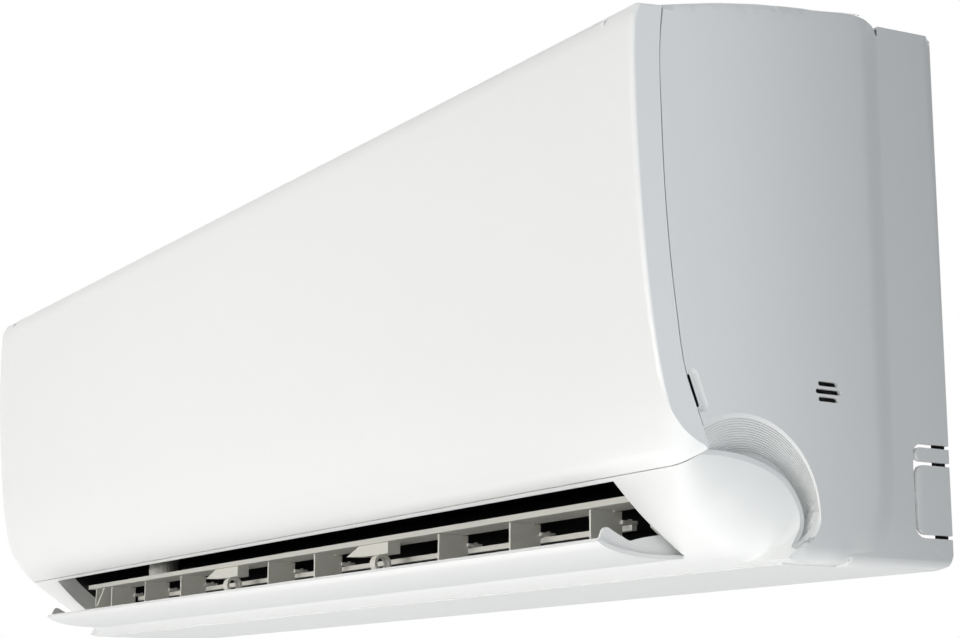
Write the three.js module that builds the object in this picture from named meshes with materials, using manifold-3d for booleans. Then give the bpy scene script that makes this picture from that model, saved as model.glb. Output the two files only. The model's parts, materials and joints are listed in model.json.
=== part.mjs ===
// Mini split indoor unit. Millimetres, +Z up, +X to the right of someone facing it, front towards -Y.
// Every size below is measured from the rear bottom edge of the unit: x from its middle, y from the
// wall (the front is negative) and z from its bottom. The finished group is then lowered, so that
// the origin lies on the wall face of the mounting plate.
import * as THREE from 'three';
import { mergeVertices } from 'three/addons/utils/BufferGeometryUtils.js';
import Module from 'manifold-3d';

const wasm = await Module();
wasm.setup();

// ---------------------------------------------------------------- driving dimensions
const GAP = 0.3;                 // running or seating clearance between pieces
const WIDTH = 965;               // overall width
const HALF = WIDTH / 2;
const WALL = 2.4;                // moulded wall of the casing
const STRIP_DEPTH = 38;          // base frame strip that shows behind the casing
const STRIP_TOP = 293.6;         // height of the base frame at the wall
const STRIP_INSET = 2.8;         // how far the casing stands proud of the base frame
const BASE_WALL = 2.2;           // moulded wall of the base frame
const MOUNT_HEIGHT = 182;        // height of the plate's centre above the unit's bottom
const PLATE_SHEET = 1.2;         // sheet of the mounting plate
const PLATE_HALF = 330;
const PLATE_BOTTOM = 108;
const PLATE_TOP = STRIP_TOP - 25.6;

const PANEL_WALL = 2.6;
const PANEL_SEAM = 0.6;          // gap between the panel and the casing
const PANEL_ROUND = 5;           // rounding of the panel's vertical front edges
const PANEL_HINGE = { y: -174, z: 271, pin: 1.8 };
const PANEL_ARM_X = HALF - 27.5; // middle of each hinge arm
const PANEL_ARM_WIDE = 3;

const OUTLET_TOP = { y: -170, z: 45.3 };       // lower edge of the panel
const OUTLET_LIP = { y: -119.5, z: 5.2 };      // upper edge of the lip below the flap
const OUTLET_HALF = HALF - 72;   // half width of the outlet
const CHEEK_LINING = 13;         // how deep the casing lines each end of the outlet
const LIP_FOOT = { y: -106, z: 0.8 };          // parting line between the lip and the base

const SCOOP_DEEP = 12;           // depth of the scoop in the casing's side
const SCOOP_MOUTH = { y: -140, z: 24, r: 47.5 };
const SCOOP_FLOOR = { y: -129.5, z: 18, r: 34.5 };
const CHEEK_ROUND_START = HALF - 42.5;   // where the cheek starts to round off towards its end
const CHEEK_ROUND_DEEP = 11;

const FLAP_PIVOT = { y: -117, z: 13.2 };
const FLAP_SKIN = 2.2;
const FLAP_HALF = OUTLET_HALF - 2;
const FLAP_PIN = 2.4;
const FLAP_TEETH = 10;
const PINION_TEETH = 19;
const GEAR_MODULE = 0.9;
const GEAR_WIDE = 4;

const FAN = { y: -92, z: 108, r: 46, half: OUTLET_HALF - 15.5 };
const FAN_BLADES = 26;
const FAN_SHAFT = 4;
const STUB = 3.5;                // stub axle at the fan's bearing end
const BEARING = 10;

const DUCT_HALF = OUTLET_HALF + 0.5;     // inner faces of the duct's end walls
const DUCT_WALL = 2.4;

const VANE_GROUPS = [{ first: 46.5 - OUTLET_HALF, count: 3, pitch: 73 }, { first: -61, count: 2, pitch: 73 },
  { first: OUTLET_HALF - 230.5, count: 3, pitch: 82 }];
const VANE_AXIS_Y = -121;
const VANE_FRONT_Y = -137;
const VANE_SHEET = 1.6;
const VANE_PIN = 1.5;
const VANE_LINK = 11;            // from the vane's axis back to its link pin
const LINK_PIN = 1.2;
const BAR_Z = { lo: 37.2, hi: 40.6 };          // top bar of the vane carrier
const RAIL_Z = { lo: 12.6, hi: 14.6 };         // lower rail of the vane carrier
const RING = { y: -132.5, z: 24.5, outer: 6.2, bore: 4.2, long: 7 };
const RING_X = [-131, 98];
const SWING_MOTOR_VANE = 1;      // the vane whose axis the swing motor turns

const FILTER_FOOT = { y: -177, z: 152 };
const FILTER_HEAD = { y: -56, z: 292 };
const FILTER_THICK = 2.4;
const FILTER_INNER = 8;          // x where each filter starts
const FILTER_OUTER = OUTLET_HALF - 10.5;

const COIL_HALF = DUCT_HALF - 3;
const TUBE_PLATE = 1.2;
const BEND_TUBE = 3.4;           // outer radius of a return bend's tube
const BEND_PITCH = 15;
const MOTOR = { r: 38, x0: DUCT_HALF + 9, x1: DUCT_HALF + 56 };
const EBOX = { x0: HALF - 50.5, x1: HALF - 6.5, y0: -166, y1: -86, z0: 152, z1: 262, wall: 1.8 };
const SUCTION_R = 6.35;
const LIQUID_R = 3.2;
const HOSE_R = 8;

const KNOCKOUT_Y = -25.75;
const KNOCKOUT_GAP = 1.9;
const KNOCKOUT_Z = [16.25, 54.5, 63.75];
const VENT = { y: -84.75, z: [91, 87, 83], long: [13.25, 16.75, 13.25], high: 2.4 };

// ---------------------------------------------------------------- materials
const finish = (color, roughness, metalness = 0) =>
  new THREE.MeshStandardMaterial({ color, roughness, metalness });
const white = finish(0xf2f2f0, 0.42);
const cream = finish(0xe6e4d6, 0.5);
const black = finish(0x0d0d0d, 0.55);
const darkPlastic = finish(0x2b2d30, 0.6);
const steel = finish(0xb9bcc0, 0.35, 0.9);
const aluminium = finish(0xc9ccd0, 0.4, 0.9);
const copper = finish(0xb87348, 0.3, 0.95);
const brass = finish(0xc2a35a, 0.3, 0.95);
const foam = finish(0x121212, 0.95);
const rubber = finish(0x1a1a1a, 0.85);
const insulation = finish(0xe9e9e6, 0.9);
const filterNet = finish(0x9fb4c4, 0.8);
const boardGreen = finish(0x1f6b3a, 0.5);

// ---------------------------------------------------------------- solids and booleans
function solid(geometry) {
  const bare = new THREE.BufferGeometry();
  bare.setAttribute('position', geometry.getAttribute('position').clone());
  if (geometry.index) bare.setIndex(geometry.index.clone());
  const merged = mergeVertices(bare, 1e-4);
  return new wasm.Manifold(new wasm.Mesh({
    numProp: 3,
    vertProperties: new Float32Array(merged.getAttribute('position').array),
    triVerts: new Uint32Array(merged.index.array),
  }));
}

function geometryOf(manifold) {
  const mesh = manifold.getMesh();
  const geometry = new THREE.BufferGeometry();
  geometry.setAttribute('position', new THREE.BufferAttribute(new Float32Array(mesh.vertProperties), 3));
  geometry.setIndex(new THREE.BufferAttribute(new Uint32Array(mesh.triVerts), 1));
  return geometry;
}

const join = (...parts) => parts.reduce((a, b) => a.add(b));
const cut = (body, ...tools) => tools.reduce((a, b) => a.subtract(b), body);

const unit = new THREE.Group();
function piece(name, body, material) {
  const mesh = new THREE.Mesh(body.isBufferGeometry ? body : geometryOf(body), material);
  mesh.name = name;
  unit.add(mesh);
}

// ---------------------------------------------------------------- basic forms
const onX = new THREE.Matrix4().makeBasis(
  new THREE.Vector3(0, 1, 0), new THREE.Vector3(0, 0, 1), new THREE.Vector3(1, 0, 0));

function shapeOf(points) {
  return new THREE.Shape(points.map(([u, v]) => new THREE.Vector2(u, v)));
}

/** A (y, z) outline, with optional holes, drawn out along x. */
function alongX(points, x0, x1, holes = []) {
  const shape = shapeOf(points);
  holes.forEach((hole) => shape.holes.push(new THREE.Path(hole.map(([u, v]) => new THREE.Vector2(u, v)))));
  const geometry = new THREE.ExtrudeGeometry(shape, { depth: x1 - x0, bevelEnabled: false });
  return solid(geometry.applyMatrix4(onX).translate(x0, 0, 0));
}

/** An (x, z) outline drawn out along y. */
function alongY(points, y0, y1) {
  const geometry = new THREE.ExtrudeGeometry(shapeOf(points), { depth: y1 - y0, bevelEnabled: false });
  return solid(geometry.rotateX(Math.PI / 2).translate(0, y1, 0));
}

function box(x0, x1, y0, y1, z0, z1) {
  const geometry = new THREE.BoxGeometry(x1 - x0, y1 - y0, z1 - z0);
  return solid(geometry.translate((x0 + x1) / 2, (y0 + y1) / 2, (z0 + z1) / 2));
}

function rodX(y, z, r, x0, x1, sides = 20) {
  const geometry = new THREE.CylinderGeometry(r, r, x1 - x0, sides);
  return solid(geometry.rotateZ(Math.PI / 2).translate((x0 + x1) / 2, y, z));
}

function rodY(x, z, r, y0, y1, sides = 20) {
  return solid(new THREE.CylinderGeometry(r, r, y1 - y0, sides).translate(x, (y0 + y1) / 2, z));
}

function rodZ(x, y, r, z0, z1, sides = 20) {
  const geometry = new THREE.CylinderGeometry(r, r, z1 - z0, sides);
  return solid(geometry.rotateX(Math.PI / 2).translate(x, y, (z0 + z1) / 2));
}

/** A tube along a smooth route through the points. */
function pipe(points, r, steps, sides = 8) {
  const route = new THREE.CatmullRomCurve3(points.map((p) => new THREE.Vector3(...p)), false, 'centripetal');
  const ring = Array.from({ length: sides }, (_, i) => {
    const turn = (2 * Math.PI * i) / sides;
    return [r * Math.cos(turn), r * Math.sin(turn)];
  });
  return solid(new THREE.ExtrudeGeometry(shapeOf(ring), { steps, extrudePath: route }));
}

/** Sections of equal point count, anticlockwise in (y, z), joined into one closed body. */
function loft(sections) {
  const count = sections[0].points.length;
  const position = sections.flatMap(({ x, points }) => points.flatMap(([y, z]) => [x, y, z]));
  const index = [];
  for (let s = 0; s + 1 < sections.length; s += 1) {
    for (let i = 0; i < count; i += 1) {
      const j = (i + 1) % count;
      const [a, b] = [s * count + i, s * count + j];
      const [c, d] = [a + count, b + count];
      index.push(a, b, c, b, d, c);
    }
  }
  const last = (sections.length - 1) * count;
  const capOf = ({ points }) =>
    THREE.ShapeUtils.triangulateShape(points.map(([u, v]) => new THREE.Vector2(u, v)), []);
  capOf(sections[0]).forEach(([a, b, c]) => index.push(a, c, b));
  capOf(sections[sections.length - 1]).forEach(([a, b, c]) => index.push(last + a, last + b, last + c));
  const geometry = new THREE.BufferGeometry();
  geometry.setAttribute('position', new THREE.Float32BufferAttribute(position, 3));
  geometry.setIndex(index);
  return solid(geometry);
}

// ---------------------------------------------------------------- outline helpers
const polar = (c, r, degrees) => {
  const turn = THREE.MathUtils.degToRad(degrees);
  return [c.y + r * Math.cos(turn), c.z + r * Math.sin(turn)];
};

function arc(c, r, from, to, steps) {
  return Array.from({ length: steps + 1 }, (_, i) => polar(c, r, from + ((to - from) * i) / steps));
}

/** The line moved to its left by the distance, each corner mitred. */
function offset(line, distance, closed = false) {
  const n = line.length;
  const normal = (a, b) => {
    const [u, v] = [b[0] - a[0], b[1] - a[1]];
    const size = Math.hypot(u, v);
    return [-v / size, u / size];
  };
  return line.map((p, i) => {
    const before = closed || i > 0 ? normal(line[(i - 1 + n) % n], p) : null;
    const after = closed || i < n - 1 ? normal(p, line[(i + 1) % n]) : null;
    const [a, b] = [before ?? after, after ?? before];
    const scale = distance / (1 + a[0] * b[0] + a[1] * b[1]);
    return [p[0] + (a[0] + b[0]) * scale, p[1] + (a[1] + b[1]) * scale];
  });
}

/** A wall of even thickness along a line, drawn out along x. */
function wallAlong(line, thickness, x0, x1) {
  return alongX([...line, ...offset(line, thickness).reverse()], x0, x1);
}

/** The y of a line at height z, with the line given from the top down. */
function yAt(line, z) {
  const i = line.findIndex((p) => p[1] <= z);
  const [a, b] = [line[i - 1], line[i]];
  return a[0] + ((b[0] - a[0]) * (z - a[1])) / (b[1] - a[1]);
}

// ---------------------------------------------------------------- side profile
// Seam between the panel and the casing, from the top down.
const SEAM = [[-184.5, 276], [-186.5, 262], [-186.8, 212], [-185, 170], [-180, 120], [-174.5, 87.5],
  [-168.75, 72.5], [-160.75, 52.5]];
// Front face of the panel, from the top down to its lower edge.
const PANEL_FACE = [[-199.5, 274.3], [-203, 268], [-204.3, 255], [-204.4, 232], [-203.4, 200],
  [-201.6, 170], [-198.6, 136], [-195, 108], [-190.5, 84], [-185, 66], [-178, 52.8],
  [OUTLET_TOP.y, OUTLET_TOP.z]];
// Slanted outlet face, from the lower edge of the panel down to the lip and the parting line.
const SLANT = [[OUTLET_TOP.y, OUTLET_TOP.z], [-160, 35.3], [-150, 26.3], [-142.6, 20.6], [-132, 13],
  [OUTLET_LIP.y, OUTLET_LIP.z], [-112, 2.5], [LIP_FOOT.y, LIP_FOOT.z]];
// Top of the casing, from the rear to the front.
const TOP = [[-38.6, STRIP_TOP - 2.6], [-42, STRIP_TOP], [-47.5, STRIP_TOP + 1.4], [-80, 293], [-140, 285.5],
  [-184.5, 276]];
// Rear edge of the casing's side, from the bottom up.
const REAR = [[-67, 1.5], [-52, 8], [-43.5, 19], [-39.6, 36], [-38.6, 70]];
const CASING = [...SLANT, [-80, 0.4], ...REAR, ...TOP, ...SEAM.slice(1)];

/** The plane of the slanted face, moved into the unit by a depth. */
const slantLength = Math.hypot(LIP_FOOT.y - OUTLET_TOP.y, LIP_FOOT.z - OUTLET_TOP.z);
const slantAlong = [(LIP_FOOT.y - OUTLET_TOP.y) / slantLength, (LIP_FOOT.z - OUTLET_TOP.z) / slantLength];
const slantInward = [-slantAlong[1], slantAlong[0]];

/** Everything in front of the slanted face, where the cheek rounds off towards its end. */
function cheekRounding(clearance) {
  const end = HALF - SCOOP_DEEP;
  const steps = [0, 0.33, 0.58, 0.78, 0.92, 1];
  const depthAt = (t) => CHEEK_ROUND_DEEP * (1 - Math.sqrt(1 - t * t));
  const front = 60;
  const section = (x, deep) => {
    const shifted = SLANT.map(([y, z]) => [y + slantInward[0] * deep, z + slantInward[1] * deep]);
    const head = shifted[0];
    const foot = shifted[shifted.length - 1];
    const above = [head[0] - slantAlong[0] * front, head[1] - slantAlong[1] * front];
    const below = [foot[0] + slantAlong[0] * front, foot[1] + slantAlong[1] * front];
    const ahead = [head[0] - slantInward[0] * front, head[1] - slantInward[1] * front];
    return { x, points: [above, ahead, [below[0], below[1] - front], below, ...shifted.reverse()] };
  };
  const first = -clearance;
  const sections = steps.map((t) =>
    section(CHEEK_ROUND_START + (end - CHEEK_ROUND_START) * t, depthAt(t) + first));
  sections.unshift(section(CHEEK_ROUND_START - 1, -1));
  sections.push(section(HALF + 1, CHEEK_ROUND_DEEP + first));
  return loft(sections);
}

/** The cone of the scoop at the right-hand end, its floor and wall both moved out by the clearance. */
function scoop(clearance) {
  const sides = 36;
  const rise = (SCOOP_MOUTH.r - SCOOP_FLOOR.r) / SCOOP_DEEP;
  const grow = clearance * (Math.sqrt(1 + rise * rise) - rise);
  const section = (x) => {
    const t = (x - (HALF - SCOOP_DEEP)) / SCOOP_DEEP;
    const at = (key) => SCOOP_FLOOR[key] + (SCOOP_MOUTH[key] - SCOOP_FLOOR[key]) * t;
    const centre = { y: at('y'), z: at('z') };
    return { x, points: arc(centre, at('r') + grow + rise * clearance, 0, 360 - 360 / sides, sides - 1) };
  };
  return loft([section(HALF - SCOOP_DEEP - clearance), section(HALF + 1)]);
}

function mirrored(body) {
  const geometry = geometryOf(body).scale(-1, 1, 1);
  const corners = geometry.index.array;
  for (let i = 0; i < corners.length; i += 3) [corners[i], corners[i + 1]] = [corners[i + 1], corners[i]];
  return solid(geometry);
}
const bothSides = (body) => [body, mirrored(body)];
/** The same outline drawn along both ends, |x| from x0 to x1. */
const atBothEnds = (points, x0, x1) => bothSides(alongX(points, x0, x1));

// ---------------------------------------------------------------- mounting plate
const HOOK_X = [-240, 0, 240];
const HOOK_Z = PLATE_TOP - 13;
const HOOK_WIDE = 24;
const HOOK_REACH = 12.5;
const HOOK_RISE = 9;
const BACK_WALL = { front: -8, rear: -5.5 };   // the base frame's back wall
const SCREW_HOLES = [[-290, 130], [290, 130], [-290, PLATE_TOP - 23], [290, PLATE_TOP - 23], [-120, PLATE_TOP - 18],
  [120, PLATE_TOP - 18]];

function mountingPlate() {
  const sheet = box(-PLATE_HALF, PLATE_HALF, -PLATE_SHEET, 0, PLATE_BOTTOM, PLATE_TOP);
  const flange = box(-PLATE_HALF, PLATE_HALF, BACK_WALL.rear + GAP, 0, PLATE_BOTTOM, PLATE_BOTTOM + PLATE_SHEET);
  const hooks = HOOK_X.flatMap((x) => [
    box(x - HOOK_WIDE / 2, x + HOOK_WIDE / 2, -HOOK_REACH, 0, HOOK_Z, HOOK_Z + PLATE_SHEET),
    box(x - HOOK_WIDE / 2, x + HOOK_WIDE / 2, -HOOK_REACH, -HOOK_REACH + PLATE_SHEET, HOOK_Z, HOOK_Z + HOOK_RISE),
  ]);
  const windows = [-180, 180].map((x) => box(x - 42, x + 42, -5, 5, 150, PLATE_TOP - 53));
  const holes = SCREW_HOLES.map(([x, z]) => rodY(x, z, 3, -5, 5, 12));
  return cut(join(sheet, flange, ...hooks), ...windows, ...holes);
}
piece('mounting_plate', mountingPlate(), steel);

// ---------------------------------------------------------------- lines inside the unit
// Scroll behind the fan and the outlet's floor, on the air side, from the top down.
const SCROLL = [[-40.5, 149.5], polar(FAN, 53, 15), polar(FAN, 53.5, 0), polar(FAN, 55, -15), polar(FAN, 57, -30),
  polar(FAN, 60.5, -45), polar(FAN, 65, -60), polar(FAN, 71, -75), [-88, 27.5], [-108, 12.5]];
// Wall of the pipe channel at the rear, on the fan side, from the top down.
const CHANNEL = [[-7, 101], [-32, 88], [-36, 72], [-52, 44], [-72, 24.5], [-79, 1]];
// Outlet's ceiling up to the tongue by the fan, on the air side, from the front.
const CEILING = [[-157, 54], [-148, 62.5], [-139.5, 93]];

const SIDE_IN = HALF - STRIP_INSET - BASE_WALL;
const SIDE_OUT = HALF - STRIP_INSET;
const PIPE_X = HALF - 35.5;      // where the suction pipe runs down behind the motor
const HOSE_X = HALF - 39.5;      // where the drain hose runs down in front of the motor

// ---------------------------------------------------------------- rear chassis
const PEDESTAL_X = [[MOTOR.x0 + 4, MOTOR.x0 + 7], [MOTOR.x1 - 9, MOTOR.x1 - 6]];
const SADDLE = MOTOR.r + GAP;
const FOOT_TOP = 105.7;          // top of the blocks that the motor cover is screwed to

function knockOuts() {
  const [foot, middle, head] = KNOCKOUT_Z;
  const round = 6;
  const rounded = (y0, z0, z1, r) => [[2, z0], [2, z1],
    ...arc({ y: y0 + r, z: z1 - r }, r, 90, 180, 4), ...arc({ y: y0 + r, z: z0 + r }, r, 180, 270, 4)].reverse();
  const window = alongX(rounded(KNOCKOUT_Y, foot, head + KNOCKOUT_GAP, round), SIDE_IN - 1, SIDE_OUT + 1);
  const tab = (z0, z1, r) => cut(
    alongX(rounded(KNOCKOUT_Y + KNOCKOUT_GAP, z0, z1, r), SIDE_IN, SIDE_OUT),
    box(SIDE_IN - 1, SIDE_OUT + 1, 0, 5, z0 - 1, z1 + 1));
  const bridge = (z0, z1) =>
    box(SIDE_IN, SIDE_IN + 1, KNOCKOUT_Y - 1, KNOCKOUT_Y + KNOCKOUT_GAP + 1.5, z0, z1);
  const tabs = [tab(foot + KNOCKOUT_GAP, middle, round - 1), tab(middle + KNOCKOUT_GAP, head, 3),
    bridge(33, 40), bridge(57, 60.5)];
  return { window, tabs };
}

function rearChassis() {
  const sideOutline = [[-2.4, 2.4], [0, 8], [0, STRIP_TOP - 3], [-3, STRIP_TOP], [-STRIP_DEPTH, STRIP_TOP - 1.2],
    [-STRIP_DEPTH, STRIP_TOP - 6.6], [-46, STRIP_TOP - 7.6], [-46, 75], [-72, 30], [-100, 6], [-105.4, 0], [-8, 0]];
  const { window, tabs } = knockOuts();
  const side = join(cut(alongX(sideOutline, SIDE_IN, SIDE_OUT), window), ...tabs);
  const top = alongX([[0, STRIP_TOP - 6], [0, STRIP_TOP - 3], [-3, STRIP_TOP],
    [-STRIP_DEPTH, STRIP_TOP - 1.2], [-STRIP_DEPTH, STRIP_TOP - 3.4], [-5.5, STRIP_TOP - 2.6],
    [-5.5, STRIP_TOP - 6]].reverse(), -SIDE_OUT, SIDE_OUT);
  const back = box(-SIDE_OUT, SIDE_OUT, BACK_WALL.front, BACK_WALL.rear, 98, STRIP_TOP - 2.5);
  const bottom = alongX([[-105.4, 0], [-8, 0], [-2.4, 2.4], [0, 8], [-2, 8], [-4, 4], [-8.5, BASE_WALL],
    [-105.4, BASE_WALL]], -SIDE_OUT, SIDE_OUT);
  const channel = wallAlong(CHANNEL, BASE_WALL, -SIDE_OUT, SIDE_OUT);
  const scrollOuter = offset(SCROLL, DUCT_WALL + GAP).filter(([, z]) => z < 95 && z > 26);
  const ribOutline = [...scrollOuter, [-82, 1], ...offset(CHANNEL, BASE_WALL / 2).slice(1, 5).reverse()].reverse();
  const ribs = [-300, 0, 300].map((x) => alongX(ribOutline, x - 1.5, x + 1.5));

  const saddle = [[-90, 1], [-78, 1], [-70, 24], [-60, 60], [-46, 76], [-46, FOOT_TOP],
    ...arc(FAN, SADDLE, 356.5, 183.5, 14), [-138, FOOT_TOP], [-138, 76], [-92, 40]];
  const pedestals = PEDESTAL_X.map(([x0, x1]) => alongX(saddle, x0, x1));
  const blocks = [[FAN.y + SADDLE + 1, FAN.y + SADDLE + 8], [FAN.y - SADDLE - 8, FAN.y - SADDLE - 1]]
    .map(([y0, y1]) => box(PEDESTAL_X[0][0], PEDESTAL_X[1][1], y0, y1, 76, FOOT_TOP));
  const bearingSeat = cut(
    alongX([[-104, 1], [-80, 1], [-78, 90], ...arc(FAN, BEARING + 5, 0, 180, 10), [-106, 90]],
      -DUCT_HALF - 9.5, -DUCT_HALF - 3.5),
    rodX(FAN.y, FAN.z, BEARING + GAP, -DUCT_HALF - 19, -DUCT_HALF + 1));
  const boxBracket = box(EBOX.x1 - 20, SIDE_IN + 1, EBOX.y1 + GAP, BACK_WALL.rear, EBOX.z1 - 26, EBOX.z1 - 23);
  const hookSlots = HOOK_X.map((x) => box(x - HOOK_WIDE / 2 - 2, x + HOOK_WIDE / 2 + 2, -15, 0,
    HOOK_Z + PLATE_SHEET + GAP - 12.5, HOOK_Z + PLATE_SHEET + GAP));
  const pipeWindow = box(PIPE_X - 25, PIPE_X + 13, -33, -2, 80, 130);
  const hoseWindow = rodY(HOSE_X, 13.5, HOSE_R + 1.5, -100, -60, 16);
  const screwBores = COVER_SCREWS.map(([y]) => rodZ(COVER_X, y, 1.5, 90, 120, 12));
  return cut(join(...bothSides(side), top, back, bottom, channel, ...ribs, ...pedestals, ...blocks, bearingSeat,
    boxBracket),
    ...hookSlots, pipeWindow, hoseWindow, ...screwBores, ...bothSides(scoop(WALL + 0.5)));
}
const COVER_X = (PEDESTAL_X[0][0] + PEDESTAL_X[1][1]) / 2;
const COVER_SCREWS = [[FAN.y + SADDLE + 4.5, 'rear'], [FAN.y - SADDLE - 4.5, 'front']];
piece('rear_chassis', rearChassis(), white);

const seal = [[-7.5, 8.5], [-0.4, 10], [-0.4, 72], [-7.5, 72]];
piece('wall_seal_right', alongX(seal, SIDE_IN - GAP - 3, SIDE_IN - GAP), foam);
piece('wall_seal_left', alongX(seal, GAP - SIDE_IN, GAP - SIDE_IN + 3), foam);

// ---------------------------------------------------------------- air duct
const CASING_SCREWS = [-250, 0, 250];
const SCREW_Z = 62;
const PAN_FOOT = 75.2;

function airDuct() {
  const lining = atBothEnds([...SLANT, ...offset(SLANT, CHEEK_LINING + GAP).reverse()], OUTLET_HALF - GAP, DUCT_HALF + 3);
  const scroll = wallAlong(SCROLL, DUCT_WALL, -DUCT_HALF - 1, DUCT_HALF + 1);
  const gutter = box(-DUCT_HALF - 1, DUCT_HALF + 1, -41, -11, 147, 149.5);
  const ceiling = wallAlong([...CEILING].reverse(), -DUCT_WALL, -DUCT_HALF - 1, DUCT_HALF + 1);
  const front = offset(SLANT, CHEEK_LINING + 0.5).filter(([y]) => y > -156 && y < -112);
  const end = [[-157, 54], ...front, [-108, 11.5], ...offset(SCROLL, DUCT_WALL).reverse().slice(1, -1),
    [-38.1, 148], [-139.5, 148], [-142, 93], [-150, 75], [-164.5, PAN_FOOT - GAP]];
  const ends = atBothEnds(end, DUCT_HALF, DUCT_HALF + DUCT_WALL);
  const bosses = CASING_SCREWS.map((x) => box(x - 5, x + 5, -158, -147, SCREW_Z - 5, SCREW_Z + 5));
  const bores = CASING_SCREWS.map((x) => rodY(x, SCREW_Z, 1.9, -160, -150.5, 12));
  const shaftHole = rodX(FAN.y, FAN.z, 5.5, -HALF, HALF, 16);
  return cut(join(scroll, gutter, ceiling, ...ends, ...bosses), ...bores, shaftHole, ...lining);
}
piece('air_duct', airDuct(), black);

// ---------------------------------------------------------------- drain pan and hose
const COIL_FRONT = { y0: -168.3, y1: -150.3, foot: 88, head: 151 };
const SPOUT = { y: -160, z: 81, r: 5, end: DUCT_HALF + 13 };

function drainPan() {
  const outer = [[-172, 98], [-171.4, 88], [-166.6, PAN_FOOT], [-153, PAN_FOOT], [-146.5, 86], [-144.6, 98]];
  const inner = [...offset(outer.slice(1, 5), 1.8), [-146.6, 100], [-170.2, 100]];
  const [panEnd, panInside] = [DUCT_HALF + 5, DUCT_HALF + 3];
  const trough = cut(alongX(outer, -panEnd, panEnd), alongX(inner, -panInside, panInside));
  const ribLine = [[-164, PAN_FOOT + 1], [-153.6, PAN_FOOT + 1], [-151, COIL_FRONT.foot - GAP], [-166.8, COIL_FRONT.foot - GAP]];
  const ribs = [-300, -100, 100, 300].map((x) => alongX(ribLine, x - 1, x + 1));
  const spout = rodX(SPOUT.y, SPOUT.z, SPOUT.r, panEnd - 1, SPOUT.end, 12);
  const bore = rodX(SPOUT.y, SPOUT.z, SPOUT.r - 1.6, panInside - 4, SPOUT.end + 6, 12);
  return cut(join(trough, ...ribs, spout), bore);
}
piece('drain_pan', drainPan(), white);

const hoseRoute = [[SPOUT.end + GAP, SPOUT.y, SPOUT.z], [SPOUT.end + 4, SPOUT.y, SPOUT.z],
  [SPOUT.end + 10, SPOUT.y + 0.5, SPOUT.z - 1], [HOSE_X - 1, -153, 68], [HOSE_X, -138, 48], [HOSE_X, -115, 24],
  [HOSE_X, -92, 14.5], [HOSE_X, -70, 13], [HOSE_X - 9, -50, 12.6], [HOSE_X - 31, -43, 12.4],
  [HOSE_X - 63, -42, 12.4], [300, -42, 12.4], [170, -42, 12.4], [40, -42, 12.4]];
piece('drain_hose', pipe(hoseRoute, HOSE_R, 40), insulation);

// ---------------------------------------------------------------- evaporator
const slope = [FILTER_HEAD.y - FILTER_FOOT.y, FILTER_HEAD.z - FILTER_FOOT.z];
const slopeLength = Math.hypot(...slope);
const up = [slope[0] / slopeLength, slope[1] / slopeLength];
const out = [-up[1], up[0]];
const along = ([y, z], distance) => [y + up[0] * distance, z + up[1] * distance];

const lowerFins = [[COIL_FRONT.y0, COIL_FRONT.foot], [COIL_FRONT.y1, COIL_FRONT.foot],
  [COIL_FRONT.y1, COIL_FRONT.head], [COIL_FRONT.y0, COIL_FRONT.head]];
const upperFoot = COIL_FRONT.head + 0.4;
const upperFins = [[COIL_FRONT.y0, upperFoot], [-144, upperFoot], along([-144, upperFoot], 88),
  [-86.4, 230], along([COIL_FRONT.y0, upperFoot], 104)];
const rearFins = [[-86, 204], [-37, 149.8], [-16, 149.8], [-16, 159], [-77, 230], [-86, 230]];
piece('evaporator_front_lower', alongX(lowerFins, -COIL_HALF, COIL_HALF), aluminium);
piece('evaporator_front_upper', alongX(upperFins, -COIL_HALF, COIL_HALF), aluminium);
piece('evaporator_rear', alongX(rearFins, -COIL_HALF, COIL_HALF), aluminium);

/** A half ring of tube between two points on the tube plate. */
function returnBend(x, [y0, z0], [y1, z1]) {
  const middle = [(y0 + y1) / 2, (z0 + z1) / 2];
  const half = [(y1 - y0) / 2, (z1 - z0) / 2];
  const reach = Math.hypot(...half);
  const points = [-0.18, 0, 0.25, 0.5, 0.75, 1, 1.18].map((t) => {
    const turn = Math.PI * Math.min(1, Math.max(0, t));
    const under = Math.max(0, -t, t - 1) * 3;
    const side = -Math.cos(turn);
    return [x + reach * Math.sin(turn) - under, middle[0] + half[0] * side, middle[1] + half[1] * side];
  });
  return pipe(points, BEND_TUBE, 5, 6);
}

function tubePlate() {
  const x0 = COIL_HALF + GAP;
  const hull = [[COIL_FRONT.y0 - 0.3, 88], [-149.6, 88], [-149.6, 148.5], [-143, 151], along([-144, upperFoot], 86),
    [-37, 149.8], [-15.4, 149.8], [-15.4, 159.5], [-77, 230.8], along([COIL_FRONT.y0 - 0.3, upperFoot], 105),
    [COIL_FRONT.y0 - 0.3, upperFoot]];
  const plate = alongX(hull, x0, x0 + TUBE_PLATE);
  const face = x0 + TUBE_PLATE / 2;
  const pair = (from, dir, start) => [start, start + BEND_PITCH].map((d) => [from[0] + dir[0] * d, from[1] + dir[1] * d]);
  const low = [0, 1].map((i) => pair([-159.3, 104], [0, 1], i * 1.45 * BEND_PITCH));
  const high = [0, 1].map((i) => pair([-150, 158], up, 8 + i * 2 * BEND_PITCH));
  const behind = [pair([-36, 166], [-0.657, 0.754], 0), pair([-36, 166], [-0.657, 0.754], 2 * BEND_PITCH)];
  return join(plate, ...[...low, ...high, ...behind].map(([a, b]) => returnBend(face, a, b)));
}
const [plateRight, plateLeft] = bothSides(tubePlate());
piece('tube_plate_right', plateRight, copper);
piece('tube_plate_left', plateLeft, copper);

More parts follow.
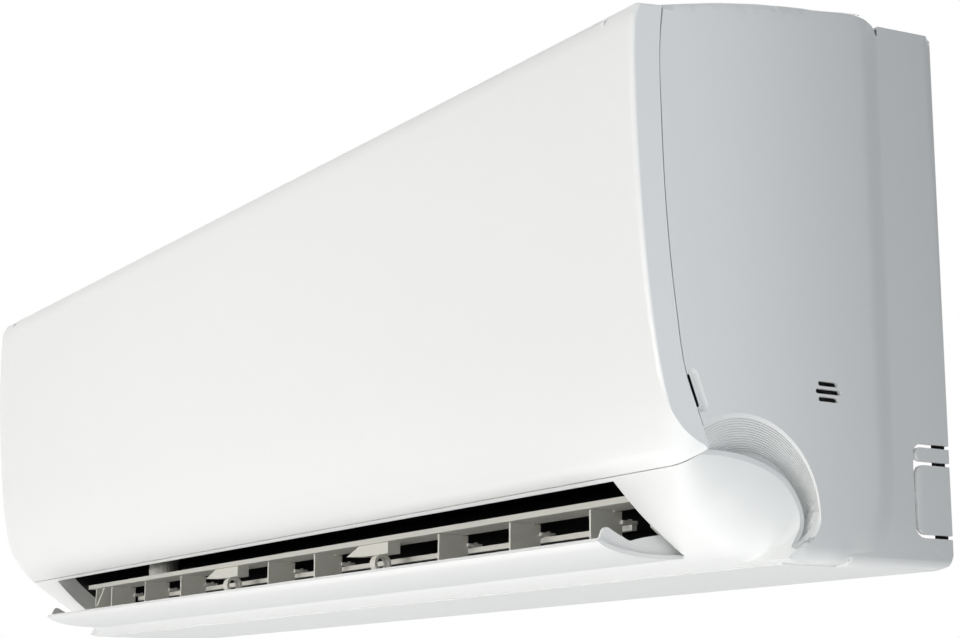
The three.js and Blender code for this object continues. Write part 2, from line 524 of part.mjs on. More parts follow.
// ---------------------------------------------------------------- refrigerant pipes
const SUCTION = { y: -19, z: 36, end: 80 };
const LIQUID = { y: -13, z: 58, end: 120 };
const tubeFace = COIL_HALF + GAP + TUBE_PLATE + GAP;
piece('suction_pipe', pipe([[tubeFace, -76, 203], [tubeFace + 8, -76, 203], [PIPE_X - 11, -62, 190],
  [PIPE_X, -30, 150], [PIPE_X, -20, 110], [PIPE_X - 1, -19, 66], [PIPE_X - 9, -19, 46],
  [PIPE_X - 29, SUCTION.y, SUCTION.z + 0.5], [PIPE_X - 47, SUCTION.y, SUCTION.z],
  [PIPE_X - 67, SUCTION.y, SUCTION.z], [230, SUCTION.y, SUCTION.z], [SUCTION.end, SUCTION.y, SUCTION.z]], SUCTION_R, 36), copper);
piece('liquid_pipe', pipe([[tubeFace, -54, 172], [tubeFace + 6, -54, 172], [PIPE_X - 20, -44, 160],
  [PIPE_X - 16, -20, 130], [PIPE_X - 16, -13.5, 100], [PIPE_X - 17, -13, 74], [PIPE_X - 25, -13, 62],
  [PIPE_X - 43, LIQUID.y, LIQUID.z], [300, LIQUID.y, LIQUID.z],
  [LIQUID.end, LIQUID.y, LIQUID.z]], LIQUID_R, 32), copper);

function tubeX(centre, outer, bore, x0, x1, sides) {
  const turn = 360 / sides;
  return alongX(arc(centre, outer, 0, 360 - turn, sides - 1), x0, x1, [arc(centre, bore, 0, 340, 17)]);
}
const SLEEVE = 12;
piece('pipe_insulation', tubeX(SUCTION, SLEEVE, SUCTION_R + GAP, 110, 372, 20), insulation);
piece('suction_flare_nut', tubeX(SUCTION, 12.5, SUCTION_R + GAP, SUCTION.end - 2, SUCTION.end + 20, 6), brass);
piece('liquid_flare_nut', tubeX(LIQUID, 9, LIQUID_R + GAP, LIQUID.end - 2, LIQUID.end + 15, 6), brass);

function pipeClamp() {
  const face = offset(CHANNEL, BASE_WALL + GAP);
  const bend = face.filter(([, z]) => z > 26 && z < 64);
  const block = alongX([[yAt(face, 64), 64], ...bend, [yAt(face, 26), 26], [-6, 26], [-6, 64]], 240, 254);
  return cut(block, rodX(SUCTION.y, SUCTION.z, SLEEVE + GAP, 230, 260, 24), rodX(LIQUID.y, LIQUID.z, LIQUID_R + GAP, 230, 260, 12));
}
piece('pipe_clamp', pipeClamp(), darkPlastic);

// ---------------------------------------------------------------- air filters
/** A block in the plane of the filters: s up the slope from the foot, t out towards the room. */
const onSlope = (s, t) => [FILTER_FOOT.y + up[0] * s + out[0] * t, FILTER_FOOT.z + up[1] * s + out[1] * t];
const slopeBlock = (x0, x1, s0, s1, t0, t1) =>
  alongX([onSlope(s0, t0), onSlope(s1, t0), onSlope(s1, t1), onSlope(s0, t1)], x0, x1);

function airFilter() {
  const half = FILTER_THICK / 2;
  const columns = 6;
  const rows = 3;
  const rim = 7;
  const bar = 2.4;
  const wide = (FILTER_OUTER - FILTER_INNER - 2 * rim + bar) / columns;
  const tall = (slopeLength - 2 * rim + bar) / rows;
  const pockets = [];
  for (let i = 0; i < columns; i += 1) {
    for (let j = 0; j < rows; j += 1) {
      const [x, s] = [FILTER_INNER + rim + i * wide, rim + j * tall];
      pockets.push(slopeBlock(x, x + wide - bar, s, s + tall - bar, 0.4 - half, half + 1));
    }
  }
  const middle = (FILTER_INNER + FILTER_OUTER) / 2;
  const plate = slopeBlock(FILTER_INNER, FILTER_OUTER, 0, slopeLength, -half, half);
  return join(cut(plate, ...pockets), slopeBlock(middle - 22, middle + 22, 1, 5, 0, 5));
}
const [filterRight, filterLeft] = bothSides(airFilter());
piece('air_filter_right', filterRight, filterNet);
piece('air_filter_left', filterLeft, filterNet);

// ---------------------------------------------------------------- front casing
const TOP_SLOTS = { pitch: 24, wide: 19.4, count: 18, y0: -160, y1: -78 };
const CASING_INNER = offset(CASING, WALL, true);
const BUTTON = { x: HALF - 30.5, z: 140, r: 3 };
const NOTCH = 3.2;               // half width of the notch round each hinge arm
const HINGE_PLATE = [PANEL_ARM_X + 3.5, PANEL_ARM_X + 8];
const LIP_RELIEF = 7.75;         // room that the turning flap needs round its pins

function frontCasing() {
  const end = HALF;
  const edges = [[end, 1.3], [end - 0.5, 0.6], [end - 1.6, 0]];
  const outer = loft([
    ...edges.map(([x, inset]) => ({ x: -x, points: offset(CASING, inset, true) })),
    ...[...edges].reverse().map(([x, inset]) => ({ x, points: offset(CASING, inset, true) })),
  ]);
  const inner = cut(alongX(CASING_INNER, -end + WALL, end - WALL),
    ...bothSides(scoop(WALL)), ...bothSides(cheekRounding(-WALL)));
  const shell = cut(outer, inner, ...bothSides(scoop(0)), ...bothSides(cheekRounding(0)));

  const inward = offset(SLANT, CHEEK_LINING);
  const lining = atBothEnds([...SLANT.slice(0, 7), ...inward.slice(0, 7).reverse()], OUTLET_HALF, OUTLET_HALF + WALL);
  const aheadOfSeam = alongX([...SEAM, SLANT[0], [-260, 40], [-260, 280]], -end, end);
  const brackets = atBothEnds([[-180, 266.5], [-168, 266.5], [-168, 278.3], [-180, 275.8]], ...HINGE_PLATE);
  const ledge = [onSlope(-GAP, -2.5), onSlope(-GAP, 1.8), [-183, 150.4], [-182.2, 143], [-176, 146]];
  const ledges = atBothEnds(ledge, FILTER_INNER, FILTER_OUTER);
  const pads = CASING_SCREWS.map((x) => rodY(x, SCREW_Z, 5.5, -167, -158 - GAP, 16));
  const solidBody = join(shell, ...lining.map((body) => cut(body, aheadOfSeam)), ...brackets, ...ledges, ...pads);

  const lip = SLANT[5];
  const outlet = alongX([underChin(-3), ...SLANT.slice(1, 5).map((p) => shifted(p, -1)), lip, shifted(lip, 14),
    underChin(18)], -OUTLET_HALF, OUTLET_HALF);
  const relief = rodX(FLAP_PIVOT.y, FLAP_PIVOT.z, LIP_RELIEF, -OUTLET_HALF, OUTLET_HALF, 40);
  const rearOpening = alongX([[LIP_FOOT.y + 0.4, -5], [-30, -5], [-30, STRIP_TOP - 4.1], [-46, STRIP_TOP - 4.1], [-46, 40], [-52, 20],
    [-62, 10], [LIP_FOOT.y + 0.4, 10]], -end + WALL, end - WALL);
  const frontOpening = box(-CHEEK_ROUND_START, CHEEK_ROUND_START, -200, -170, 156, 262);
  const topSlots = [];
  for (let i = 0; i < TOP_SLOTS.count; i += 1) {
    const x = (i + 0.5) * TOP_SLOTS.pitch;
    [x, -x].forEach((c) => topSlots.push(
      box(c - TOP_SLOTS.wide / 2, c + TOP_SLOTS.wide / 2, TOP_SLOTS.y0, TOP_SLOTS.y1, 270, 300)));
  }
  const filterSlots = bothSides(slopeBlock(FILTER_INNER - 1, FILTER_OUTER + 1, slopeLength - 30, slopeLength + 20,
    -FILTER_THICK / 2 - 0.5, FILTER_THICK / 2 + 0.5));
  const notches = bothSides(join(
    box(PANEL_ARM_X - NOTCH, PANEL_ARM_X + NOTCH, -195, -169, 271, 290),
    box(PANEL_ARM_X - NOTCH, PANEL_ARM_X + NOTCH, -195, -180, 254, 290)));
  const pinHoles = [
    ...bothSides(rodX(PANEL_HINGE.y, PANEL_HINGE.z, PANEL_HINGE.pin + GAP, HINGE_PLATE[0] - 1, HINGE_PLATE[1] + 1, 16)),
    ...bothSides(rodX(FLAP_PIVOT.y, FLAP_PIVOT.z, FLAP_PIN + GAP, OUTLET_HALF - 5, OUTLET_HALF + 5, 20))];
  const screwHoles = CASING_SCREWS.map((x) => rodY(x, SCREW_Z, 2, -170, -150, 12));
  const buttonHole = rodY(BUTTON.x, BUTTON.z, BUTTON.r + GAP, -190, -170, 16);
  const vents = VENT.z.flatMap((z, i) => bothSides(
    box(end - 5, end + 2, VENT.y - VENT.long[i] / 2, VENT.y + VENT.long[i] / 2, z - VENT.high / 2, z + VENT.high / 2)));
  return cut(solidBody, outlet, relief, rearOpening, frontOpening, ...topSlots, ...filterSlots,
    ...notches, ...pinHoles, ...screwHoles, buttonHole, ...vents);
}
const shifted = ([y, z], deep) => [y + slantInward[0] * deep, z + slantInward[1] * deep];
/** A point on the underside of the wall below the panel, a distance in from the outlet's top edge. */
function underChin(distance) {
  const [edge, seam] = offset([SLANT[0], SEAM[SEAM.length - 1]], -WALL);
  const size = Math.hypot(seam[0] - edge[0], seam[1] - edge[1]);
  return [edge[0] + ((seam[0] - edge[0]) * distance) / size, edge[1] + ((seam[1] - edge[1]) * distance) / size];
}
piece('front_casing', frontCasing(), white);

for (const [i, x] of CASING_SCREWS.entries()) {
  const screw = join(rodY(x, SCREW_Z, 3.6, -169.3, -167 - GAP, 16), rodY(x, SCREW_Z, 1.6, -168, -151.5, 12));
  piece(`casing_screw_${['left', 'middle', 'right'][i]}`,
    cut(screw, box(x - 2.4, x + 2.4, -170, -168.6, SCREW_Z - 0.5, SCREW_Z + 0.5)), steel);
}

// ---------------------------------------------------------------- front panel
function frontPanel() {
  const chin = offset([SEAM[SEAM.length - 1], [OUTLET_TOP.y, OUTLET_TOP.z]], -PANEL_SEAM);
  const rear = offset(SEAM, -PANEL_SEAM);
  rear[0] = [SEAM[0][0] - 1.1, 275.8];
  rear[rear.length - 1] = [chin[0][0] - 0.2, chin[0][1] + 0.2];
  const face = [rear[0], ...PANEL_FACE.slice(0, -1), chin[1]];
  const section = (inset) => [...offset(face, inset), ...[...rear.slice(1)].reverse()];
  const edges = [[HALF, 4], [HALF - 0.7, 2.2], [HALF - 2.5, 0.8], [HALF - PANEL_ROUND - 0.5, 0]];
  const outer = loft([
    ...edges.map(([x, inset]) => ({ x: -x, points: section(inset) })),
    ...[...edges].reverse().map(([x, inset]) => ({ x, points: section(inset) })),
  ]);
  const line = offset([...face, rear[rear.length - 1]], PANEL_WALL);
  const hollow = cut(alongX([...line, [-150, 64], [-150, 273.2]], -HALF + PANEL_WALL, HALF - PANEL_WALL),
    ...bothSides(scoop(PANEL_WALL)), ...bothSides(cheekRounding(-PANEL_WALL)));
  const arm = [[PANEL_HINGE.y, PANEL_HINGE.z - 3.6], [-187, 264], [-203, 256], [-203, 271], [-199, 273.8],
    [-186.2, 273.8], [-183, 272.8], [PANEL_HINGE.y, PANEL_HINGE.z + 3.6]];
  const side = PANEL_ARM_X + PANEL_ARM_WIDE / 2;
  const hinge = join(
    alongX(arm, PANEL_ARM_X - PANEL_ARM_WIDE / 2, side),
    rodX(PANEL_HINGE.y, PANEL_HINGE.z, 3.6, PANEL_ARM_X - PANEL_ARM_WIDE / 2, side, 16),
    rodX(PANEL_HINGE.y, PANEL_HINGE.z, PANEL_HINGE.pin, side - 1, HINGE_PLATE[1] - 0.5, 12));
  const fingerNotch = atBothEnds([[-160, 72.5], [-160, 87.5], [-174.6, 87.5], [-176, 84], [-172.6, 74.5]], HALF - 4, HALF + 1);
  return cut(join(cut(outer, hollow), ...bothSides(hinge)), ...bothSides(scoop(0)), ...bothSides(cheekRounding(0)),
    ...fingerNotch);
}
piece('front_panel', frontPanel(), white);

// ---------------------------------------------------------------- vanes
const VANES = VANE_GROUPS.flatMap(({ first, count, pitch }) => Array.from({ length: count }, (_, i) => first + i * pitch));
const LINK_Y = VANE_AXIS_Y + VANE_LINK;
const LEG_X = FLAP_HALF - 9.1;   // inner face of the carrier's end legs
const RAIL_HALF = 2;             // half width of the lower rail

function vaneCarrier() {
  const half = DUCT_HALF - GAP;
  const bar = box(-half, half, -140, -117, BAR_Z.lo, BAR_Z.hi);
  const legs = atBothEnds([[-137, BAR_Z.lo + 1], [-137, 22.6], [-124.6, RAIL_Z.lo + 0.8], [-121.5, RAIL_Z.lo - 1],
    [-117.4, RAIL_Z.lo - 1], [-117.4, BAR_Z.lo + 1]], LEG_X, LEG_X + 1.6);
  const gusset = alongY([[-LEG_X - 1.4, 23], [-LEG_X + 1, 23], [17.4 - LEG_X, 38], [14.4 - LEG_X, 38]], -136, -120);
  const rings = RING_X.flatMap((x) => [
    alongY([[x - 39, 31.4], [x - 12, 29.9], [x + 18, 29.9], [x + 18, 38], [x - 19, 38]], -137, -128),
    tubeX(RING, RING.outer, RING.bore, x - RING.long / 2, x + RING.long / 2, 16)]);
  const holes = VANES.flatMap((x) => [
    rodZ(x, VANE_AXIS_Y, VANE_PIN + GAP, BAR_Z.lo - 2, BAR_Z.hi + 2, 8)]);
  const railSlots = bothSides(box(LEG_X - 1, LEG_X + 3, VANE_AXIS_Y - RAIL_HALF - GAP, VANE_AXIS_Y + RAIL_HALF + GAP,
    RAIL_Z.lo - GAP, RAIL_Z.hi + GAP));
  return cut(join(bar, ...legs, gusset, ...rings), ...holes, ...railSlots);
}
piece('vane_carrier', vaneCarrier(), cream);

/** The lower rail, which passes through a slot in each leg of the carrier. */
function vaneRail() {
  const end = LEG_X + 2;
  const rail = box(-end, end, VANE_AXIS_Y - RAIL_HALF, VANE_AXIS_Y + RAIL_HALF, RAIL_Z.lo, RAIL_Z.hi);
  return cut(rail, ...VANES.map((x) => rodZ(x, VANE_AXIS_Y, VANE_PIN + GAP, RAIL_Z.lo - 2, RAIL_Z.hi + 2, 8)));
}
piece('vane_rail', vaneRail(), cream);

VANES.forEach((x, i) => {
  const half = VANE_SHEET / 2;
  const blade = alongX([[VANE_FRONT_Y, BAR_Z.lo - GAP], [VANE_FRONT_Y, 21], [-127, RAIL_Z.hi + GAP],
    [-116, RAIL_Z.hi + GAP], [-116, BAR_Z.lo - GAP]], x - half, x + half);
  const pins = join(rodZ(x, VANE_AXIS_Y, VANE_PIN, BAR_Z.lo - 1, BAR_Z.hi + (i === SWING_MOTOR_VANE ? 3.5 : 1.2), 8),
    rodZ(x, VANE_AXIS_Y, VANE_PIN, RAIL_Z.lo - 0.2, RAIL_Z.hi + 1, 8));
  const tab = cut(box(x - 3, x + 3, -117, LINK_Y + 3, 30, 32), rodZ(x, LINK_Y, LINK_PIN + GAP, 29, 33, 8));
  piece(`vane_${i + 1}`, join(blade, pins, tab), cream);
});

function vaneLink() {
  const bar = box(VANES[0] - 4, VANES[VANES.length - 1] + 4, LINK_Y - 1.6, LINK_Y + 1.6, 26.5, 29.7);
  return join(bar, ...VANES.map((x) => rodZ(x, LINK_Y, LINK_PIN, 29, 33, 8)));
}
piece('vane_link', vaneLink(), cream);

const swingX = VANES[SWING_MOTOR_VANE];
const swingFoot = BAR_Z.hi + GAP;
piece('swing_motor', cut(join(rodZ(swingX, VANE_AXIS_Y, 12, swingFoot, swingFoot + 16, 24),
  box(swingX - 17, swingX + 17, VANE_AXIS_Y - 3.5, VANE_AXIS_Y + 3.5, swingFoot, swingFoot + 1.5)),
  rodZ(swingX, VANE_AXIS_Y, VANE_PIN + GAP, swingFoot - 1, swingFoot + 4, 12)), cream);

// ---------------------------------------------------------------- flap and its drive
const FLAP_LINE = [[-177, 12.6], [-173.2, 10.3], [-167.7, 8.5], [-162.1, 7.2], [-156.5, 6.3], [-150.9, 5.7],
  [-145.2, 5.4], [-139.5, 5.2], [-130.9, 5.4], [-125, 5.8], [-120.6, 6.6], [-116.6, 7]];
const FLAP_END = [[-174.1, 14.6], [-173.1, 17.4], [-171.9, 19.5], [-170.4, 20.3], [-168.9, 20.1], [-164.7, 18],
  [-160.3, 16.1], [-155.5, 14.1], [-150.7, 15.2], [-143.2, 16.8], [-128, 18.6], [-119, 18.2]];

const GEAR_X = OUTLET_HALF + 3.9;

function flap() {
  const skin = wallAlong(FLAP_LINE, FLAP_SKIN, -FLAP_HALF, FLAP_HALF);
  const middle = offset(FLAP_LINE, FLAP_SKIN / 2);
  const plate = [...middle.slice(1), ...[...FLAP_END].reverse()];
  const [x0, x1] = [FLAP_HALF - 4, FLAP_HALF - 2];
  const boss = rodX(FLAP_PIVOT.y, FLAP_PIVOT.z, 5.4, FLAP_HALF - 6.5, FLAP_HALF, 20);
  const pin = rodX(FLAP_PIVOT.y, FLAP_PIVOT.z, FLAP_PIN, FLAP_HALF - 2.5, FLAP_HALF + 5.5, 16);
  const drivePin = rodX(FLAP_PIVOT.y, FLAP_PIVOT.z, FLAP_PIN, FLAP_HALF - 2.5, GEAR_X + GEAR_WIDE, 16);
  return join(skin, ...atBothEnds(plate, x0, x1), ...bothSides(boss), mirrored(pin), drivePin);
}
piece('flap', flap(), white);

function gear(centre, teeth, bore, x0, x1, phase) {
  const pitchR = (teeth * GEAR_MODULE) / 2;
  const root = pitchR - 1.2 * GEAR_MODULE;
  const tip = pitchR + 0.85 * GEAR_MODULE;
  const step = 360 / teeth;
  const profile = Array.from({ length: teeth }, (_, i) => phase + i * step).flatMap((turn) => [
    polar(centre, root, turn - step * 0.34), polar(centre, tip, turn - step * 0.12),
    polar(centre, tip, turn + step * 0.12), polar(centre, root, turn + step * 0.34)]);
  return alongX(profile, x0, x1, [arc(centre, bore, 0, 337.5, 15)]);
}
const MESH_ANGLE = 30;           // direction from the flap's axis to the motor's
const meshDistance = ((FLAP_TEETH + PINION_TEETH) * GEAR_MODULE) / 2 + 0.15;
const [driveY, driveZ] = polar(FLAP_PIVOT, meshDistance, MESH_ANGLE);
const DRIVE = { y: driveY, z: driveZ };
piece('flap_gear', gear(FLAP_PIVOT, FLAP_TEETH, FLAP_PIN + 0.1, GEAR_X, GEAR_X + GEAR_WIDE, MESH_ANGLE), cream);
piece('flap_drive_gear', gear(DRIVE, PINION_TEETH, 1.8, GEAR_X, GEAR_X + GEAR_WIDE, MESH_ANGLE + 180 + 180 / PINION_TEETH), cream);
piece('flap_motor', join(rodX(DRIVE.y, DRIVE.z, 12, GEAR_X + GEAR_WIDE + GAP, GEAR_X + 18.6, 24),
  rodX(DRIVE.y, DRIVE.z, 1.5, GEAR_X + 0.3, GEAR_X + 5.6, 10)), cream);

// ---------------------------------------------------------------- cross-flow fan
function fanImpeller() {
  const inner = FAN.r - 10;
  const bladeLine = [[inner, -7], [inner + 5, -1.2], [FAN.r - 0.3, 1]];
  const at = ([r, turn], extra) => polar(FAN, r, turn + extra);
  const blades = Array.from({ length: FAN_BLADES }, (_, i) => {
    const turn = (360 * i) / FAN_BLADES;
    return wallAlong(bladeLine.map((p) => at(p, turn)), 1.2, -FAN.half, FAN.half);
  });
  const disc = (x0, x1) => rodX(FAN.y, FAN.z, FAN.r, x0, x1, 36);
  const ring = (x) => alongX(arc(FAN, FAN.r, 0, 350, 35), x - 1, x + 1, [arc(FAN, inner, 0, 350, 35)]);
  const hub = rodX(FAN.y, FAN.z, 9, FAN.half - 12, FAN.half, 20);
  const stub = rodX(FAN.y, FAN.z, STUB, -DUCT_HALF - 9, -FAN.half, 16);
  const body = join(disc(-FAN.half - 2, -FAN.half + 0.5), disc(FAN.half - 0.5, FAN.half + 2), ring(-130), ring(130), ...blades, stub, hub);
  return cut(body, rodX(FAN.y, FAN.z, FAN_SHAFT + 0.1, FAN.half - 10, FAN.half + 5, 16));
}
piece('fan_impeller', fanImpeller(), darkPlastic);
piece('fan_shaft', rodX(FAN.y, FAN.z, FAN_SHAFT, FAN.half - 8, MOTOR.x0 + 6, 16), steel);
piece('fan_bearing', tubeX(FAN, BEARING, STUB + GAP, -DUCT_HALF - 10, -DUCT_HALF - DUCT_WALL - GAP, 24), rubber);

function fanMotor() {
  const can = join(rodX(FAN.y, FAN.z, MOTOR.r, MOTOR.x0 + 3, MOTOR.x1 - 3, 40),
    rodX(FAN.y, FAN.z, 16, MOTOR.x0, MOTOR.x1, 24));
  return cut(can, rodX(FAN.y, FAN.z, FAN_SHAFT + GAP, MOTOR.x0 - 1, MOTOR.x0 + 8, 16));
}
piece('fan_motor', fanMotor(), steel);

const COVER_HALF = 12;
function motorCover() {
  const inner = MOTOR.r + GAP;
  const arch = [...arc(FAN, inner + 1.8, -1, 181, 18), ...arc(FAN, inner, 181, -1, 18)];
  const foot = (y0, y1) => box(COVER_X - COVER_HALF, COVER_X + COVER_HALF, y0, y1, FOOT_TOP + GAP, FOOT_TOP + GAP + 2);
  const feet = [foot(FAN.y + inner + 0.5, FAN.y + inner + 8), foot(FAN.y - inner - 8, FAN.y - inner - 0.5)];
  const holes = COVER_SCREWS.map(([y]) => rodZ(COVER_X, y, 1.7, 100, 115, 12));
  return cut(join(alongX(arch, COVER_X - COVER_HALF, COVER_X + COVER_HALF), ...feet), ...holes);
}
piece('motor_cover', motorCover(), steel);
for (const [y, side] of COVER_SCREWS) {
  const seat = FOOT_TOP + GAP + 2 + GAP;
  piece(`motor_cover_screw_${side}`,
    join(rodZ(COVER_X, y, 2.5, seat, seat + 2, 14), rodZ(COVER_X, y, 1.3, 94, seat + 1, 10)), steel);
}

// ---------------------------------------------------------------- electrical parts
const TRAY_SCREW = { x: EBOX.x1 - 10, z: EBOX.z1 - 6 };

function electricalBox() {
  const { x0, x1, y0, y1, z0, z1, wall } = EBOX;
  const tray = cut(box(x0, x1, y0, y1, z0, z1), box(x0 + wall, x1 - wall, y0 - 1, y1 - wall, z0 + wall, z1 - wall));
  const posts = [[160, 166], [250, 256]].map(([a, b]) => box(x0 + wall - 0.5, x0 + wall + 3, -120, -112, a, b));
  const screwPost = box(TRAY_SCREW.x - 4, x1 - wall + 0.5, y0, y0 + 14, TRAY_SCREW.z - 4, z1 - wall + 0.5);
  const wireHole = rodX(-100, 170, 5, x0 - 1, x0 + wall + 1, 16);
  return cut(join(tray, ...posts, screwPost), wireHole, rodY(TRAY_SCREW.x, TRAY_SCREW.z, 1.6, y0 - 1, y0 + 12, 10));
}
piece('electrical_box', electricalBox(), white);

function electricalCover() {
  const { x0, x1, y0, z0, z1 } = EBOX;
  const plate = box(x0, x1, y0 - GAP - 1.8, y0 - GAP, z0, z1);
  const ribs = [170, 178, 186, 194].map((z) => box(x0 + 8, x1 - 8, y0 - GAP - 3, y0 - GAP - 1, z, z + 2));
  return cut(join(plate, ...ribs), rodY(TRAY_SCREW.x, TRAY_SCREW.z, 2, y0 - 5, y0 + 1, 12));
}
piece('electrical_cover', electricalCover(), white);
const coverFace = EBOX.y0 - 2 * GAP - 1.8;
piece('electrical_cover_screw', join(rodY(TRAY_SCREW.x, TRAY_SCREW.z, 3.2, coverFace - 2, coverFace, 16),
  rodY(TRAY_SCREW.x, TRAY_SCREW.z, 1.3, coverFace - 1, EBOX.y0 + 10, 10)), steel);

function controlBoard() {
  const x = EBOX.x0 + EBOX.wall + 3 + GAP;
  const board = box(x, x + 1.6, -158, -92, 156, 258);
  const parts = [box(x + 1, x + 19, -150, -134, 224, 250), box(x + 1, x + 13, -126, -112, 228, 246),
    box(x + 1, x + 9, -148, -118, 190, 212), box(x + 1, x + 5, -112, -98, 196, 214),
    rodX(-103, 241, 6, x + 1, x + 24, 16), rodX(-104, 223, 4, x + 1, x + 14, 12)];
  return join(board, ...parts);
}
piece('control_board', controlBoard(), boardGreen);

function terminalBlock() {
  const [x0, x1] = [EBOX.x0 + 10, EBOX.x1 - EBOX.wall - GAP];
  const wide = (x1 - x0) / 4;
  const body = box(x0, x1, -158, -140, EBOX.z0 + EBOX.wall + GAP, 172);
  const wells = [0, 1, 2, 3].map((i) => box(x0 + i * wide + 1.2, x0 + (i + 1) * wide - 1.2, -159, -145, 165, 173));
  return cut(body, ...wells);
}
piece('terminal_block', terminalBlock(), darkPlastic);

function receiverBoard() {
  const [a, b] = [SEAM[4], SEAM[5]];
  const line = [0.25, 0.75].map((t) => [a[0] + (b[0] - a[0]) * t, a[1] + (b[1] - a[1]) * t]);
  const x0 = HALF - 152.5;
  const plate = alongX([...offset(line, -GAP), ...offset(line, -GAP - 2).reverse()], x0, x0 + 62);
  const [y, z] = offset(line, -GAP - 1)[0];
  return join(plate, rodY(x0 + 20, z - 6, 2.6, y - 7, y + 1, 14), box(x0 + 36, x0 + 48, y - 4, y + 1, z - 9, z - 3));
}
piece('receiver_board', receiverBoard(), boardGreen);

const buttonFace = yAt(SEAM, BUTTON.z);
piece('auxiliary_button', join(rodY(BUTTON.x, BUTTON.z, BUTTON.r, buttonFace - 4, buttonFace + 6, 20),
  rodY(BUTTON.x, BUTTON.z, BUTTON.r + 1.8, buttonFace + 3.6, buttonFace + 5.4, 20)), cream);

unit.children.forEach((mesh) => mesh.geometry.translate(0, 0, -MOUNT_HEIGHT));
export default unit;
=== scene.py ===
import json
import math

import bmesh
import bpy
import numpy as np
from mathutils import Matrix, Vector
from mathutils.geometry import delaunay_2d_cdt


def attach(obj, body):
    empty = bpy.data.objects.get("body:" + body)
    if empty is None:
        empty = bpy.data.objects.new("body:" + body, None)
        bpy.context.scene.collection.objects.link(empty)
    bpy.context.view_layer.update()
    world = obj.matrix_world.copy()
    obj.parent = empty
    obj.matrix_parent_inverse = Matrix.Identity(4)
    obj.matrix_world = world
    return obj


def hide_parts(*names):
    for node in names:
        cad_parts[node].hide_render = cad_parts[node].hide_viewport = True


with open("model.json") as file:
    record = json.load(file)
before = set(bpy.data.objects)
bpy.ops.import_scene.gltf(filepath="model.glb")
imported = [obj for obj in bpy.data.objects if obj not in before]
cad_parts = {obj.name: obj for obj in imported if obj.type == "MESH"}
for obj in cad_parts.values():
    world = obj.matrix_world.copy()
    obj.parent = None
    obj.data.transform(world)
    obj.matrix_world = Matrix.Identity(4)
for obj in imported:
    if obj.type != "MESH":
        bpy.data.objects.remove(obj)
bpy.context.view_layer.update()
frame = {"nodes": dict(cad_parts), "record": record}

NODES = frame["nodes"]

# ------------------------------------------------------------------ sizes, as in the part's source
GAP = 0.3
HALF = 482.5                 # half the width
WALL = 2.4
MOUNT_HEIGHT = 182           # the frame's zero above the unit's bottom
STRIP_INSET = 2.8            # how far the rear strip stands back from the casing's side

# casing
FOOT_Z = 0.4
SIDE_FOOT_ROUND = 9
TOP_ROUND = 2.4
FOLD_WIDE = 15               # the side's soft fold in front of the rear strip
FRONT_WINDOW = (440, 156, 262)                # half width, bottom and top
REAR_OPENING_HALF = 466
OPENING_TOP = 289.5
SOLID_CORNER = (452, HALF + 1, -126, -92, -5, 18)       # left unhollowed, behind the cheek's lower end
OUTLET_HALF = 410.5
CHEEK_LINING = 13
LIP_RELIEF = 7.75
CASING_SCREWS = (-250, 0, 250)
SCREW_Z = 62
SCREW_PAD = (5.5, -167, -158)                 # radius, front and rear
SCREW_HOLE = 2
BUTTON = (452, 140, 3)
TOP_SLOTS = {"count": 18, "pitch": 24, "apart": 5.9, "wide": 7.6, "y": (-160, -78), "z": (268, 300)}
VENTS = ((91, 13.25), (87, 16.75), (83, 13.25))         # height and length of each slot
VENT_MIDDLE = -84.75
VENT_HIGH = 2.5
VENT_DEEP = 6
NOTCH = ((-172.6, 87.4), (-167.3, 73.6))      # finger notch behind the panel's edge, end to end
NOTCH_RECESS = ((HALF - 2.2, 1.5), (HALF + 0.6, 4.3))   # (x, radius): the shallow recess, set back from the seam
NOTCH_SET_BACK = 1.2
NOTCH_SLIT = ((HALF - 6, 1.2), (HALF, 1.2))

# scoop and cheek
SCOOP_DEEP = 12
SCOOP_MOUTH = (-140, 24, 47.5)                # y, z and radius
SCOOP_FLOOR = (-129.5, 18, 35.5)
GROOVE_DEEP = 0.7
GROOVES = 14
GROOVED = (0.12, 0.98)       # the share of the wall that has grooves
DISH_DEEP = 1.6              # the scoop's run-out on the panel's side
DISH_FLOOR = (-134, 20, 30)
PLUG_TOP = 476.5             # face of the rim that the cheek ends in, inside the scoop
PLUG_RIM = 3
CHEEK_START = (458, 436)     # where the cheek starts to round off, by the panel and further down
CHEEK_TURN = 30              # how far down the slant the start has moved from the first to the second
CHEEK_HEAD_RIM = 6           # the least depth of the cheek's end, next to the panel
CORNER_DEEP = 11.2           # how much of the panel's lower corner the rounding takes

# panel
PANEL_WALL = 2.6
PANEL_SEAM = 0.6
PANEL_EDGE = (3.6, 2)        # the front edge's rounding, sideways and backwards
PANEL_HINGE = (-174, 271)
PANEL_ARM_X = 455
PANEL_ARM_HALF = 1.5
PANEL_ARM_ROOM = 3.2         # half width of the slot that the arm swings in
HINGE_PLATE = (458.5, 463)
HINGE_EYE = 3.6
HINGE_PIN = 1.8

# flap
FLAP_PIVOT = (-117, 13.2)
FLAP_HALF = 408.5
FLAP_SKIN = 2.2
FLAP_PIN = 2.4
FLAP_BOSS = 5.4
FLAP_BOSS_X = 402
FLAP_END_X = (404.5, 406.5)
FLAP_GEAR_END = 418.4
FLAP_PIN_LONG = 5.5

# base
BASE_ROUND = 6.5
BASE_CORNER = (REAR_OPENING_HALF + 1, HALF + 2, -112, -70, -1, 4)

# coil
COIL_HALF = 408
FIN_PITCH = 1.7
FIN_SHEET = 0.22
TUBE = 3.4
REAR_RUN = (-0.657, 0.754)

# filters
FILTER_FOOT = (-177, 152)
FILTER_HEAD = (-56, 292)
FILTER_X = (8, 400)
FILTER_THICK = 2.4
FILTER_RIM = 7
FILTER_BAR = 2.4
FILTER_SLOT_HALF = 1.7
FILTER_WINDOWS = (6, 3)
NET_PITCH = 2.6
NET_THREAD = 0.4

